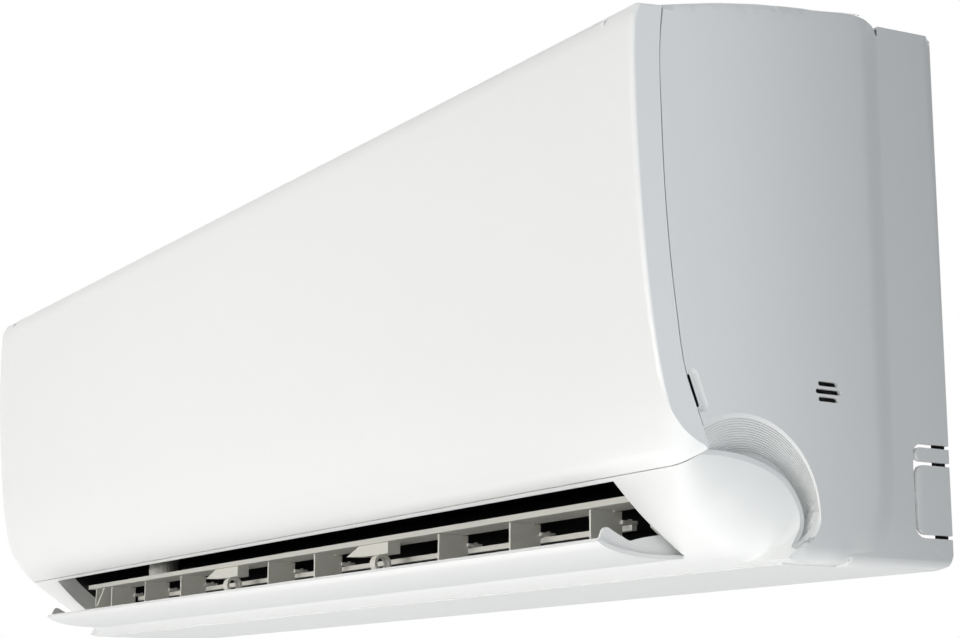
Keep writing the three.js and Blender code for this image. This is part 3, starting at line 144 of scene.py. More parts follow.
# pipe channel
HOSE_X = HALF - 39.5
HOSE_RADIUS = 7.9
HOSE_GROOVE = 1.2
HOSE_PITCH = 4.4
HOSE_CUFFS = (10, 16)        # smooth lengths at the two ends
HOSE_CUFF_STEP = 0.25
SPOUT = (-160, 81, 424)
FOAM_X = (110, 372)
FOAM_LINE = (-19, 36)
FOAM_RADIUS = 11.7
FOAM_BORE = 6.65
FOAM_UNEVEN = 0.25
SEAL_X = (474.2, 477.2)
SEAL_OUTLINE = [(-7.5, 8.5), (-0.4, 10), (-0.4, 72), (-7.5, 72)]
SEAL_UNEVEN = 0.25

# outlines, as (y, z)
SEAM = [(-184.5, 276), (-186.5, 262), (-186.8, 212), (-185, 170), (-180, 120), (-174.5, 87.5),
        (-168.75, 72.5), (-160.75, 52.5)]
PANEL_FACE = [(-199.5, 274.3), (-203, 268), (-204.3, 255), (-204.4, 232), (-203.4, 200), (-201.6, 170),
              (-198.6, 136), (-195, 108), (-190.5, 84), (-185, 66), (-178, 52.8), (-170, 45.3)]
SLANT = [(-170, 45.3), (-160, 35.3), (-150, 26.3), (-142.6, 20.6), (-132, 13), (-119.5, 5.2),
         (-112, 2.5), (-106, 0.8)]
TOP = [(-38.6, 291), (-42, 293.6), (-47.5, 295), (-80, 293), (-140, 285.5), (-184.5, 276)]
REAR = [(-67, 1.5), (-52, 8), (-43.5, 19), (-39.6, 36), (-38.6, 70)]
PLUG = [(-130, -8), (-119, -1.2), (-111.7, 3.4), (-105, 8.2), (-100.2, 13.4), (-98.1, 20), (-98.6, 26), (-101, 32),
        (-108.2, 41.2), (-119.5, 47.6), (-133, 51.6), (-147, 53.2), (-160.75, 53.2), (-176, 52)]
SCOOP_FOOT = [(-90.4, 42), (-91.5, 34), (-92.7, 27), (-94.4, 20.4), (-97.6, 14.4), (-102.6, 10), (-108.5, 6.6),
              (-116.7, 2.6), (-128, -3.2), (-150, -15)]
FLAP_LINE = [(-177, 12.6), (-173.2, 10.3), (-167.7, 8.5), (-162.1, 7.2), (-156.5, 6.3), (-150.9, 5.7),
             (-145.2, 5.4), (-139.5, 5.2), (-130.9, 5.4), (-125, 5.8), (-120.6, 6.6), (-116.6, 7)]
FLAP_END = [(-174.1, 14.6), (-173.1, 17.4), (-171.9, 19.5), (-170.4, 20.3), (-168.9, 20.1), (-164.7, 18),
            (-160.3, 16.1), (-155.5, 14.1), (-150.7, 15.2), (-143.2, 16.8), (-128, 18.6), (-119, 18.2)]


# ------------------------------------------------------------------ outlines
def spline(points, per_segment):
    """A smooth line through the points, with the same number of steps in each segment."""
    p = np.array(points, float)
    if len(p) < 3:
        return [tuple(q) for q in p]
    length = np.linalg.norm(np.diff(p, axis=0), axis=1)
    slopes = np.zeros_like(p)
    secant = np.diff(p, axis=0) / length[:, None]
    share = length[:-1] / (length[:-1] + length[1:])
    slopes[1:-1] = secant[:-1] * (1 - share)[:, None] + secant[1:] * share[:, None]
    slopes[0] = 1.5 * secant[0] - 0.5 * slopes[1]
    slopes[-1] = 1.5 * secant[-1] - 0.5 * slopes[-2]
    line = []
    for i in range(len(p) - 1):
        for t in np.arange(per_segment) / per_segment:
            h = length[i]
            line.append(p[i] * (1 + 2 * t) * (1 - t) ** 2 + slopes[i] * h * t * (1 - t) ** 2
                        + p[i + 1] * t * t * (3 - 2 * t) + slopes[i + 1] * h * t * t * (t - 1))
    line.append(p[-1])
    return [tuple(q) for q in line]


def stepped(a, b, step):
    """Points along a straight line, without its end."""
    count = max(1, round(math.dist(a, b) / step))
    return [(a[0] + (b[0] - a[0]) * i / count, a[1] + (b[1] - a[1]) * i / count) for i in range(count)]


def offset(line, distance, closed=False):
    """The line moved to its left by the distance, each corner mitred."""
    p = np.array(line, float)
    n = len(p)

    def normal(a, b):
        d = b - a
        return np.array([-d[1], d[0]]) / np.linalg.norm(d)

    moved = []
    for i in range(n):
        before = normal(p[i - 1], p[i]) if closed or i > 0 else None
        after = normal(p[i], p[(i + 1) % n]) if closed or i < n - 1 else None
        a = after if before is None else before
        b = before if after is None else after
        moved.append(tuple(p[i] + (a + b) * distance / (1 + a @ b)))
    return moved


def arc(centre, r, start, stop, steps):
    turns = np.radians(np.linspace(start, stop, steps + 1))
    return [(centre[0] + r * math.cos(t), centre[1] + r * math.sin(t)) for t in turns]


def circle(centre, r, sides):
    return arc(centre, r, 0, 360 - 360 / sides, sides - 1)


slant_run = np.array(SLANT[-1], float) - SLANT[0]
SLANT_ALONG = slant_run / np.linalg.norm(slant_run)
SLANT_IN = np.array([-SLANT_ALONG[1], SLANT_ALONG[0]])


def inward(point, deep):
    """The point moved back, square to the slanted face."""
    return tuple(np.array(point) + SLANT_IN * deep)


filter_run = np.array(FILTER_HEAD, float) - FILTER_FOOT
FILTER_LONG = float(np.linalg.norm(filter_run))
FILTER_UP = filter_run / FILTER_LONG
FILTER_OUT = np.array([-FILTER_UP[1], FILTER_UP[0]])


def on_slope(s, t):
    """The point at a distance s up the filters' slope and t out of it."""
    return tuple(np.array(FILTER_FOOT) + FILTER_UP * s + FILTER_OUT * t)


# ------------------------------------------------------------------ solids
def placed(name, data):
    """A new object in the scene."""
    thing = bpy.data.objects.new(name, data)
    bpy.context.scene.collection.objects.link(thing)
    return thing


def solid(points, faces, name="solid"):
    """A mesh in the part's frame, from points in the source's millimetres."""
    mesh = bpy.data.meshes.new(name)
    mesh.from_pydata([(x / 1000, y / 1000, (z - MOUNT_HEIGHT) / 1000) for x, y, z in points], [], faces)
    mesh.update()
    return placed(name, mesh)


def loft(sections):
    """Sections (x, outline) of equal point count, anticlockwise in (y, z), joined into one closed body."""
    count = len(sections[0][1])
    points = [(x, y, z) for x, outline in sections for y, z in outline]
    faces = [tuple(range(count))[::-1], tuple(range(len(points) - count, len(points)))]
    for s in range(len(sections) - 1):
        for i in range(count):
            j = (i + 1) % count
            a, b = s * count + i, s * count + j
            faces.append((a, b, b + count, a + count))
    return solid(points, faces)


def along_x(outline, x0, x1):
    return loft([(x0, outline), (x1, outline)])


def at_both_ends(outline, x0, x1):
    return [along_x(outline, x0, x1), along_x(outline, -x1, -x0)]


def prism(outline, low, high, place):
    """An outline drawn out from low to high; place(u, v, w) says where its points go."""
    count = len(outline)
    points = [place(u, v, w) for w in (low, high) for u, v in outline]
    faces = [tuple(range(count))[::-1], tuple(range(count, 2 * count))]
    faces += [(i, (i + 1) % count, (i + 1) % count + count, i + count) for i in range(count)]
    piece = solid(points, faces)
    outward(piece)
    return piece


def along_y(outline, y0, y1):
    return prism(outline, y0, y1, lambda u, v, w: (u, w, v))


def along_z(outline, z0, z1):
    return prism(outline, z0, z1, lambda u, v, w: (u, v, w))


def outward(piece):
    """Turns the faces of a closed body so that all look out."""
    mesh = bmesh.new()
    mesh.from_mesh(piece.data)
    bmesh.ops.recalc_face_normals(mesh, faces=mesh.faces)
    mesh.to_mesh(piece.data)
    mesh.free()


def box(x0, x1, y0, y1, z0, z1):
    return along_x([(y0, z0), (y1, z0), (y1, z1), (y0, z1)], x0, x1)


def rod_x(y, z, r, x0, x1, sides=24):
    return along_x(circle((y, z), r, sides), x0, x1)


def rod_y(x, z, r, y0, y1, sides=24):
    return along_y(circle((x, z), r, sides), y0, y1)


def joined(pieces):
    """Bodies that don't touch, as one mesh."""
    points, faces = [], []
    for piece in pieces:
        start = len(points)
        points += [v.co[:] for v in piece.data.vertices]
        faces += [[start + v for v in f.vertices] for f in piece.data.polygons]
        drop(piece)
    mesh = bpy.data.meshes.new("solid")
    mesh.from_pydata(points, [], faces)
    return placed("solid", mesh)


def drop(piece):
    mesh = piece.data
    bpy.data.objects.remove(piece)
    bpy.data.meshes.remove(mesh)


def mirrored(piece):
    mesh = piece.data.copy()
    mesh.transform(Matrix.Diagonal((-1, 1, 1, 1)))
    mesh.flip_normals()
    return placed("solid", mesh)


def both(piece):
    return [piece, mirrored(piece)]


def boolean(piece, operation, tools):
    for tool in tools:
        step = piece.modifiers.new("boolean", "BOOLEAN")
        step.solver, step.operation, step.object = "MANIFOLD", operation, tool
    apply(piece)
    for tool in tools:
        drop(tool)
    if not piece.data.polygons:
        raise RuntimeError(f"the boolean left nothing of {piece.name}")
    return piece


def cut(piece, *tools):
    return boolean(piece, "DIFFERENCE", tools)


def join(piece, *tools):
    return boolean(piece, "UNION", tools)


def apply(piece):
    graph = bpy.context.evaluated_depsgraph_get()
    graph.update()
    mesh = bpy.data.meshes.new_from_object(piece.evaluated_get(graph))
    old = piece.data
    piece.modifiers.clear()
    piece.data = mesh
    bpy.data.meshes.remove(old)


# ------------------------------------------------------------------ bodies with a shaped end
def distance_to(line, p):
    """Distance from each point to a polyline."""
    a, b = np.array(line[:-1], float), np.array(line[1:], float)
    d = b - a
    best = np.full(len(p), 1e9)
    for i in range(len(a)):
        t = np.clip(((p - a[i]) @ d[i]) / (d[i] @ d[i]), 0, 1)
        best = np.minimum(best, np.linalg.norm(p - a[i] - t[:, None] * d[i], axis=1))
    return best


def inside(outline, p):
    """Which of the points lie within the outline."""
    a = np.array(outline, float)
    b = np.roll(a, -1, axis=0)
    hit = np.zeros(len(p), bool)
    for (y0, z0), (y1, z1) in zip(a, b):
        if z0 == z1:
            continue
        crosses = (z0 > p[:, 1]) != (z1 > p[:, 1])
        hit ^= crosses & (p[:, 0] < (y1 - y0) * (p[:, 1] - z0) / (z1 - z0) + y0)
    return hit


def fillet(d, r):
    """How far a rounded edge of radius r has dropped at distance d from the edge."""
    short = np.clip(r - d, 0, r)
    return r - np.sqrt(r * r - short * short)


def shaped_ends(outline, half_at, extra, step=6):
    """A body along x whose two ends are the surface x = half_at(points)."""
    loop = np.array(outline, float)
    y0, z0 = loop.min(0)
    y1, z1 = loop.max(0)
    grid = np.array([(y, z) for y in np.arange(y0 + step / 2, y1, step) for z in np.arange(z0 + step / 2, z1, step)])
    rows = np.array(extra, float).reshape(-1, 2)
    if len(rows):
        near = np.array([np.linalg.norm(rows - g, axis=1).min() for g in grid])
        grid = grid[near > step * 0.45]
    inner = np.concatenate([rows, grid])
    ring = [tuple(p) for p in loop] + [tuple(loop[0])]
    inner = inner[inside(outline, inner)]
    inner = inner[distance_to(ring, inner) > 0.08]
    flat = np.concatenate([loop, inner])
    n = len(loop)
    verts, _, faces, *_ = delaunay_2d_cdt([Vector(p) for p in flat], [], [list(range(n))], 1, 1e-6)
    if len(verts) != len(flat):
        raise RuntimeError("the end's points were merged")
    x = half_at(flat)
    count = len(flat)
    points = [(x[i], *flat[i]) for i in range(count)] + [(-x[i], *flat[i]) for i in range(n)]
    points += [(-x[i], *flat[i]) for i in range(n, count)]
    skin = [tuple(f) for f in faces] + [tuple(v + count for v in f)[::-1] for f in faces]
    skin += [(i, i + count, (i + 1) % n + count, (i + 1) % n) for i in range(n)]
    piece = solid(points, skin)
    outward(piece)
    return piece


# ------------------------------------------------------------------ scoop and cheek
def wall_lines():
    """(t, depth of groove) down the scoop's wall: a smooth rim, then fine grooves down to its foot."""
    first, last = GROOVED
    pitch = (last - first) / GROOVES
    line = [(0, 0)]
    for i in range(GROOVES):
        t = first + i * pitch
        line += [(t, 0), (t + pitch * 0.12, GROOVE_DEEP), (t + pitch * 0.48, GROOVE_DEEP), (t + pitch * 0.6, 0)]
    return line + [(1, 0)]


def reach(point, line, run):
    """How far the line lies from a point in the direction run, at its far crossing, or 0 where there is none."""
    best = 0.0
    for (ay, az), (by, bz) in zip(line, line[1:]):
        across_y, across_z = by - ay, bz - az
        base_y, base_z = ay - point[0], az - point[1]
        det = run[1] * across_y - run[0] * across_z
        if abs(det) < 1e-9:
            continue
        far = (base_z * across_y - base_y * across_z) / det
        t = (run[0] * base_z - run[1] * base_y) / det
        if -1e-6 <= -t <= 1 + 1e-6:
            best = max(best, far)
    return best


def scoop(clearance=0, grooved=False, sides=144):
    """The scoop in the right-hand end, its floor and wall moved out by the clearance."""
    my, mz, mr = SCOOP_MOUTH
    fy, fz, fr = SCOOP_FLOOR
    rise = (mr - fr) / SCOOP_DEEP
    grow = clearance * math.sqrt(1 + rise * rise)
    rays = circle((0, 0), 1, sides)
    brim = spline(SCOOP_FOOT, 3)

    def section(t, deep):
        centre = (my + (fy - my) * t, mz + (fz - mz) * t)
        r = mr + (fr - mr) * t + deep + grow
        ring = []
        for run in rays:
            foot = reach(centre, brim, run) if run[1] < 0.4 else 0
            # below, the brim takes the circle's place, flared a little at the mouth and drawn in at the floor
            far = min(r, foot + 1.6 * (1 - t) ** 6 - 1.2 * t + clearance) if foot else r
            ring.append((centre[0] + far * run[0], centre[1] + far * run[1]))
        return (HALF - SCOOP_DEEP * t - 0.5 * deep, ring)

    sections = [section(t, deep) for t, deep in (wall_lines() if grooved else [(0, 0), (1, 0)])]
    floor_x, floor_ring = sections[-1]
    sections[-1] = (floor_x - clearance, floor_ring)
    sections.insert(0, (HALF + 1, [tuple(p) for p in sections[0][1]]))
    return loft(sections[::-1])


def dish(sides=144):
    """The shallow end of the scoop that runs out on the panel's side."""
    (my, mz, mr), (fy, fz, fr) = SCOOP_MOUTH, DISH_FLOOR
    rim, foot = circle((my, mz), mr, sides), circle((fy, fz), fr, sides)
    return loft([(HALF - DISH_DEEP, foot), (HALF, rim), (HALF + 1, [tuple(p) for p in rim])])


def plug():
    """What stays of the cheek inside the scoop, up to its rim."""
    front = [(-230, PLUG[-1][1]), (-230, PLUG[0][1])]
    edge = spline(PLUG, 6)
    trimmed = spline(offset(PLUG, 0.5), 6)
    return loft([(430, edge + front), (PLUG_TOP - 0.5, edge + front), (PLUG_TOP, trimmed + front)])


def cheek_depths(x, face, rim):
    """How deep the rounded cheek lies behind each point of the slanted face."""
    along = np.array([(np.array(p) - face[0]) @ SLANT_ALONG for p in face])
    start = CHEEK_START[0] + (CHEEK_START[1] - CHEEK_START[0]) * np.clip(along / CHEEK_TURN, 0, 1)
    t = np.maximum((x - start) / (PLUG_TOP - start), 0)
    return np.where(rim > 0, np.minimum(rim * t ** 3, rim + 3), -0.5)


def cheek_rounding(clearance, steps=16):
    """Everything in front of the slanted face, where the cheek rounds off towards its end."""
    face = spline(SLANT, 5)
    edge = spline(offset(PLUG, PLUG_RIM), 6)
    rim = np.array([reach(p, edge, SLANT_IN) for p in face])
    rim[:8] = np.maximum(rim[:8], CHEEK_HEAD_RIM)
    front = 60

    def section(x, deep):
        shifted = [inward(p, d) for p, d in zip(face, deep)]
        head, foot = np.array(shifted[0]), np.array(shifted[-1])
        above, below = tuple(head - SLANT_ALONG * front), tuple(foot + SLANT_ALONG * front)
        ahead = tuple(head - SLANT_IN * front)
        return (x, [above, ahead, (below[0], below[1] - front), below, *shifted[::-1]])

    first = CHEEK_START[1]
    stations = [first + (PLUG_TOP - first) * math.sin(math.pi / 2 * i / steps) for i in range(steps + 1)]
    sections = [section(first - 1, np.full(len(face), -1.0))]
    sections += [section(x, cheek_depths(x, face, rim) - clearance) for x in stations]
    sections.append(section(HALF + 1, cheek_depths(PLUG_TOP, face, rim) - clearance))
    return loft(sections)


def panel_rounding(clearance, steps=16):
    """What the cheek's rounding takes off the panel's lower corner, fading out upwards."""
    face = [PANEL_FACE[-1], *PANEL_FACE[-2:-8:-1]]
    fade = [1.0, 0.62, 0.22, 0.03, -0.02, -0.04, -0.04]
    lower = [(-170, 45.3), (-160, 35.3)]

    def section(x, deep):
        line = [inward(p, deep) for p in lower[::-1]]
        line += [inward(p, deep * f - 0.05 * (1 - f)) for p, f in zip(face[1:], fade[1:])]
        line = [line[0]] + spline(line[1:], 4)
        return (x, line + [(-260, line[-1][1]), (-260, line[0][1])])

    start = CHEEK_START[0]
    stations = [start + (HALF + 1 - start) * math.sin(math.pi / 2 * i / steps) for i in range(steps + 1)]
    sections = [section(start - 1, -1.0)]
    for x in stations:
        t = (x - start) / (HALF - start)
        sections.append(section(x, CORNER_DEEP * min(1.05, t) ** 2.6 - clearance))
    return loft(sections)


# ------------------------------------------------------------------ front casing
def rear_edge(per_segment=8):
    """The rear edge of the casing's side, from the bottom up, as one smooth line."""
    foot = spline([(-106, 0.8), (-80, FOOT_Z), *REAR], per_segment)
    return foot[2 * per_segment:]


def casing_outline():
    """The end of the casing: down the slant, back along the bottom, up the rear, over the top and down the seam."""
    slant = spline(SLANT, 5)
    foot = spline([SLANT[-1], (-80, FOOT_Z), *REAR], 8)
    back = stepped(REAR[-1], TOP[0], 7)
    top = spline(TOP, 6)
    seam = spline(SEAM, 6)
    chin = stepped(SEAM[-1], SLANT[0], 3)
    return slant[:-1] + foot[:-1] + back + top[:-1] + seam[:-1] + chin


def side_surface(points, foot_round=SIDE_FOOT_ROUND, inset=0.0, fold=True):
    """x of the casing's right-hand side at (y, z) points."""
    p = np.asarray(points, float)
    drop_foot = fillet(np.maximum(p[:, 1] - FOOT_Z - inset, 0), foot_round)
    top = spline(TOP, 4)
    drop_top = fillet(np.maximum(distance_to(top, p) - inset, 0), TOP_ROUND)
    x = HALF - inset - np.maximum(drop_foot, drop_top)
    if fold:
        d = distance_to(rear_edge(4) + [(TOP[0][0], TOP[0][1] + 9)], p)
        t = np.clip(d / FOLD_WIDE, 0, 1)
        x = x - (STRIP_INSET + 0.02) * (1 - t * t * (3 - 2 * t))
    return x


def side_rows():
    """Extra points for the side, close together where it rounds off."""
    rows = []
    for d in (0.15, 0.6, 1.3, 2.2, 3.4, 4.8, 6.4, 8.2):
        rows += [(y, FOOT_Z + d) for y in np.arange(-104, -50, 3.0)]
    top = spline(TOP, 6)
    for d in (0.3, 0.9, 1.7, 2.6):
        rows += offset(top, d)[1:-1]
    edge = rear_edge()[:-1] + stepped(REAR[-1], TOP[0], 7)
    for d in (1.2, 2.6, 4.2, 6, 8, 10, 12, 14, 16.5):
        rows += offset(edge, d)
    return rows


def casing_inner():
    """The outline of the casing's hollow."""
    return offset([*SLANT, (-80, FOOT_Z), *REAR, *TOP, *SEAM[1:]], WALL, True)


def under_chin(distance):
    """A point on the inner side of the strip over the outlet, at a distance behind its front edge."""
    edge, seam = [np.array(p) for p in offset([SLANT[0], SEAM[-1]], -WALL)]
    return tuple(edge + (seam - edge) * distance / np.linalg.norm(seam - edge))


def slot_outline(x, y0, y1, wide):
    """A long hole with rounded ends, in (x, y)."""
    r = wide / 2
    return arc((x, y1 - r), r, 0, 180, 8) + arc((x, y0 + r), r, 180, 360, 8)


def front_casing():
    """The casing as one hollow moulding, with the scoops, the rounded cheeks and its openings."""
    shell = shaped_ends(casing_outline(), side_surface, side_rows())
    hollow = shaped_ends(casing_inner(), lambda p: side_surface(p, SIDE_FOOT_ROUND - WALL, WALL), [], 9)
    cut(hollow, *both(scoop(WALL)))
    cut(hollow, *both(cheek_rounding(-WALL)))
    cut(hollow, *both(box(*SOLID_CORNER)))
    cut(shell, hollow)
    cut(shell, *both(cheek_rounding(0)))
    cut(shell, *both(cut(scoop(0, True), plug())))
    add_casing_fittings(shell)
    cut_outlet(shell)
    cut_casing_openings(shell)
    return shell


def add_casing_fittings(shell):
    """The outlet's linings, the panel's hinge brackets, the filters' ledge and the screw pads."""
    segments, steps = 6, 5
    face = spline(SLANT, steps)[:segments * steps + 1]
    deep = spline(offset(SLANT, CHEEK_LINING)[:segments + 1], steps)
    linings = joined(at_both_ends(face + deep[::-1], OUTLET_HALF, OUTLET_HALF + WALL))
    cut(linings, along_x([*SEAM, SLANT[0], (-260, 40), (-260, 280)], -HALF, HALF))
    join(shell, linings)
    brackets = at_both_ends([(-180, 266.5), (-168, 266.5), (-168, 278.3), (-180, 275.8)], *HINGE_PLATE)
    ledge = [on_slope(-GAP, -2.5), on_slope(-GAP, 1.8), (-183, 150.4), (-182.2, 143), (-176, 146)]
    radius, front, rear = SCREW_PAD
    pads = [rod_y(x, SCREW_Z, radius, front, rear - GAP) for x in CASING_SCREWS]
    join(shell, joined(brackets), joined(at_both_ends(ledge, *FILTER_X)), joined(pads))


def cut_outlet(shell):
    """The outlet's mouth, and the room that the flap's pivot needs in the lip."""
    lip = SLANT[5]
    mouth = spline(SLANT[:6], 5)
    outlet = [under_chin(-3), *[inward(p, -1) for p in mouth[5:21]], lip, inward(lip, 14), under_chin(18)]
    cut(shell, along_x(outlet, -OUTLET_HALF, OUTLET_HALF))
    cut(shell, rod_x(*FLAP_PIVOT, LIP_RELIEF, -OUTLET_HALF, OUTLET_HALF, 64))


def cut_casing_openings(shell):
    """The rear, the window behind the panel, the top's slots and the holes for filters, hinges and screws."""
    foot = SLANT[-1][0] + 0.4
    rear = [(foot, -5), (-30, -5), (-30, OPENING_TOP), (-46, OPENING_TOP), (-46, 40), (-52, 20), (-62, 10),
            (foot, 10)]
    cut(shell, along_x(rear, -REAR_OPENING_HALF, REAR_OPENING_HALF))
    half, low, high = FRONT_WINDOW
    cut(shell, box(-half, half, -200, -170, low, high))
    places = [side * (i + 0.5) * TOP_SLOTS["pitch"] + dx for side in (-1, 1) for i in range(TOP_SLOTS["count"])
              for dx in (-TOP_SLOTS["apart"], TOP_SLOTS["apart"])]
    cut(shell, joined([along_z(slot_outline(x, *TOP_SLOTS["y"], TOP_SLOTS["wide"]), *TOP_SLOTS["z"]) for x in places]))
    thick = FILTER_SLOT_HALF
    filter_slot = [on_slope(FILTER_LONG + s, t) for s, t in ((-30, -thick), (20, -thick), (20, thick), (-30, thick))]
    cut(shell, joined(at_both_ends(filter_slot, FILTER_X[0] - 1, FILTER_X[1] + 1)))
    arm_room = [(-195, 254), (-180, 254), (-180, 271), (-169, 271), (-169, 290), (-195, 290)]
    cut(shell, joined(at_both_ends(arm_room, PANEL_ARM_X - PANEL_ARM_ROOM, PANEL_ARM_X + PANEL_ARM_ROOM)))
    holes = [rod_x(*PANEL_HINGE, HINGE_PIN + GAP, HINGE_PLATE[0] - 1, HINGE_PLATE[1] + 1),
             rod_x(*FLAP_PIVOT, FLAP_PIN + GAP, OUTLET_HALF - 5, OUTLET_HALF + 5)]
    cut(shell, joined([h for hole in holes for h in both(hole)]))
    x, z, radius = BUTTON
    cut(shell, joined([rod_y(screw, SCREW_Z, SCREW_HOLE, -170, -150) for screw in CASING_SCREWS]
                      + [rod_y(x, z, radius + GAP, -190, -170)]))
    vents = [prism(vent_outline(z, long), HALF - VENT_DEEP, HALF + 2, lambda u, v, w: (w, u, v))
             for z, long in VENTS]
    cut(shell, joined([v for vent in vents for v in both(vent)]))
    for notch in (finger_notch(NOTCH_RECESS, NOTCH_SET_BACK), finger_notch(NOTCH_SLIT)):
        cut(shell, *both(notch))


def finger_notch(sections, behind=0):
    """A long hole along the seam, as (x, radius) sections, moved back from the seam."""
    (y0, z0), (y1, z1) = [(y + behind, z) for y, z in NOTCH]
    lean = math.degrees(math.atan2(z1 - z0, y1 - y0))
    return loft([(x, arc((y0, z0), r, lean + 90, lean + 270, 10) + arc((y1, z1), r, lean - 90, lean + 90, 10))
                 for x, r in sections])


def vent_outline(z, long):
    r = VENT_HIGH / 2
    rear, front = VENT_MIDDLE + long / 2 - r, VENT_MIDDLE - long / 2 + r
    return arc((rear, z), r, -90, 90, 8) + arc((front, z), r, 90, 270, 8)


# ------------------------------------------------------------------ front panel
def front_panel():
    """The panel's curved skin with its side bands, hollow behind, and its two hinge arms."""
    chin = offset([SEAM[-1], PANEL_FACE[-1]], -PANEL_SEAM)
    rear = offset(SEAM, -PANEL_SEAM)
    rear[0] = (SEAM[0][0] - 1.1, 275.8)
    rear[-1] = (chin[0][0] - 0.2, chin[0][1] + 0.2)
    face = [rear[0], *PANEL_FACE[:-1], chin[1]]
    seam = spline(rear, 6)[1:]

    def section(inset):
        moved = offset(face, inset)
        front = [moved[0]] + spline(moved[1:], 7)
        return front + seam[::-1]

    turns = [math.pi / 2 * i / 8 for i in range(9)]
    aside, back = PANEL_EDGE
    edges = [(HALF - aside * (1 - math.cos(t)), back * (1 - math.sin(t))) for t in turns]
    shell = loft([(-x, section(inset)) for x, inset in edges]
                 + [(x, section(inset)) for x, inset in edges[::-1]])
    line = offset([*face, rear[-1]], PANEL_WALL)
    hollow = along_x([*line, (-150, 64), (-150, 273.2)], -HALF + PANEL_WALL, HALF - PANEL_WALL)
    cut(hollow, *both(panel_rounding(-PANEL_WALL)))
    cut(shell, hollow)
    hy, hz = PANEL_HINGE
    arm = [(hy, hz - HINGE_EYE), (-187, 264), (-203, 256), (-203, 271), (-199, 273.8), (-186.2, 273.8), (-183, 272.8),
           (hy, hz + HINGE_EYE)]
    near, far = PANEL_ARM_X - PANEL_ARM_HALF, PANEL_ARM_X + PANEL_ARM_HALF
    hinge = along_x(arm, near, far)
    join(hinge, rod_x(hy, hz, HINGE_EYE, near, far))
    join(hinge, rod_x(hy, hz, HINGE_PIN, far - 1, HINGE_PLATE[1] - 0.5))
    join(shell, joined(both(hinge)))
    cut(shell, *both(panel_rounding(0)))
    cut(shell, *both(dish()))
    return shell


# ------------------------------------------------------------------ flap
def flap():
    """The open flap: a curved skin with end plates, bosses and pins."""
    skin = spline(FLAP_LINE, 5)
    inner = spline(offset(FLAP_LINE, FLAP_SKIN), 5)
    body = along_x(skin + inner[::-1], -FLAP_HALF, FLAP_HALF)
    middle = spline(offset(FLAP_LINE, FLAP_SKIN / 2)[1:], 5)
    plate = middle + spline(FLAP_END, 5)[::-1]
    for end in both(along_x(plate, *FLAP_END_X)):
        join(body, end)
    for boss in both(rod_x(*FLAP_PIVOT, FLAP_BOSS, FLAP_BOSS_X, FLAP_HALF, 32)):
        join(body, boss)
    join(body, rod_x(*FLAP_PIVOT, FLAP_PIN, -FLAP_HALF - FLAP_PIN_LONG, -FLAP_HALF + 2.5))
    join(body, rod_x(*FLAP_PIVOT, FLAP_PIN, FLAP_HALF - 2.5, FLAP_GEAR_END))
    return body


# ------------------------------------------------------------------ base
def base():
    """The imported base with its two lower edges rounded."""
    piece = copy_of("rear_chassis")
    r, side = BASE_ROUND, HALF - STRIP_INSET + 0.2
    right = arc((side - r, r - 0.01), r, 270, 360, 10)
    left = arc((r - side, r - 0.01), r, 180, 270, 10)
    boolean(piece, "INTERSECT", [along_y(right + [(side, 300), (-side, 300)] + left, -150, 5)])
    cut(piece, *both(box(*BASE_CORNER)))
    return piece


def copy_of(node):
    """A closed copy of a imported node's mesh."""
    mesh = bmesh.new()
    mesh.from_mesh(NODES[node].data)
    bmesh.ops.remove_doubles(mesh, verts=mesh.verts, dist=2e-6)
    data = bpy.data.meshes.new(node)
    mesh.to_mesh(data)
    mesh.free()
    return placed(node, data)


# ------------------------------------------------------------------ coil, filters, hose, foam
def many(blocks):
    """Closed bodies given as (points, faces) in one mesh."""
    points, faces = [], []
    for block_points, block_faces in blocks:
        start = len(points)
        points += block_points
        faces += [[start + v for v in f] for f in block_faces]
    return solid(points, faces)


def plate_block(outline, x0, x1):
    n = len(outline)
    points = [(x, y, z) for x in (x0, x1) for y, z in outline]
    faces = [list(range(n))[::-1], list(range(n, 2 * n))]
    faces += [[i, (i + 1) % n, (i + 1) % n + n, i + n] for i in range(n)]
    return points, faces


def along_slope(point, distance):
    return tuple(np.array(point) + FILTER_UP * distance)


def fins(outline):
    """One block of thin sheets along the coil."""
    count = int(2 * COIL_HALF / FIN_PITCH)
    first = -(count - 1) / 2 * FIN_PITCH
    middles = [first + i * FIN_PITCH for i in range(count)]
    return many([plate_block(outline, x - FIN_SHEET / 2, x + FIN_SHEET / 2) for x in middles])


UPPER_FRONT, UPPER_REAR = (-168.3, 151.4), (-144, 151.4)
FIN_OUTLINES = {
    "lower": [(-168.3, 88), (-150.3, 88), (-150.3, 151), (-168.3, 151)],
    "upper": [UPPER_FRONT, UPPER_REAR, along_slope(UPPER_REAR, 88), (-86.4, 230), along_slope(UPPER_FRONT, 104)],
    "rear": [(-86, 204), (-37, 149.8), (-16, 149.8), (-16, 159), (-77, 230), (-86, 230)],
}


def coil_tubes():
    """The straight tubes that the fins are threaded on."""
    low = [(-159.3, 104 + i * 21.75 + j * 15) for i in (0, 1) for j in (0, 1)]
    high = [(-150 + FILTER_UP[0] * d, 158 + FILTER_UP[1] * d) for d in (8, 23, 38, 53)]
    rear = [(-36 + REAR_RUN[0] * d, 166 + REAR_RUN[1] * d) for d in (0, 15, 30, 45)]
    return many([plate_block(circle(c, TUBE, 16), -COIL_HALF, COIL_HALF) for c in low + high + rear])


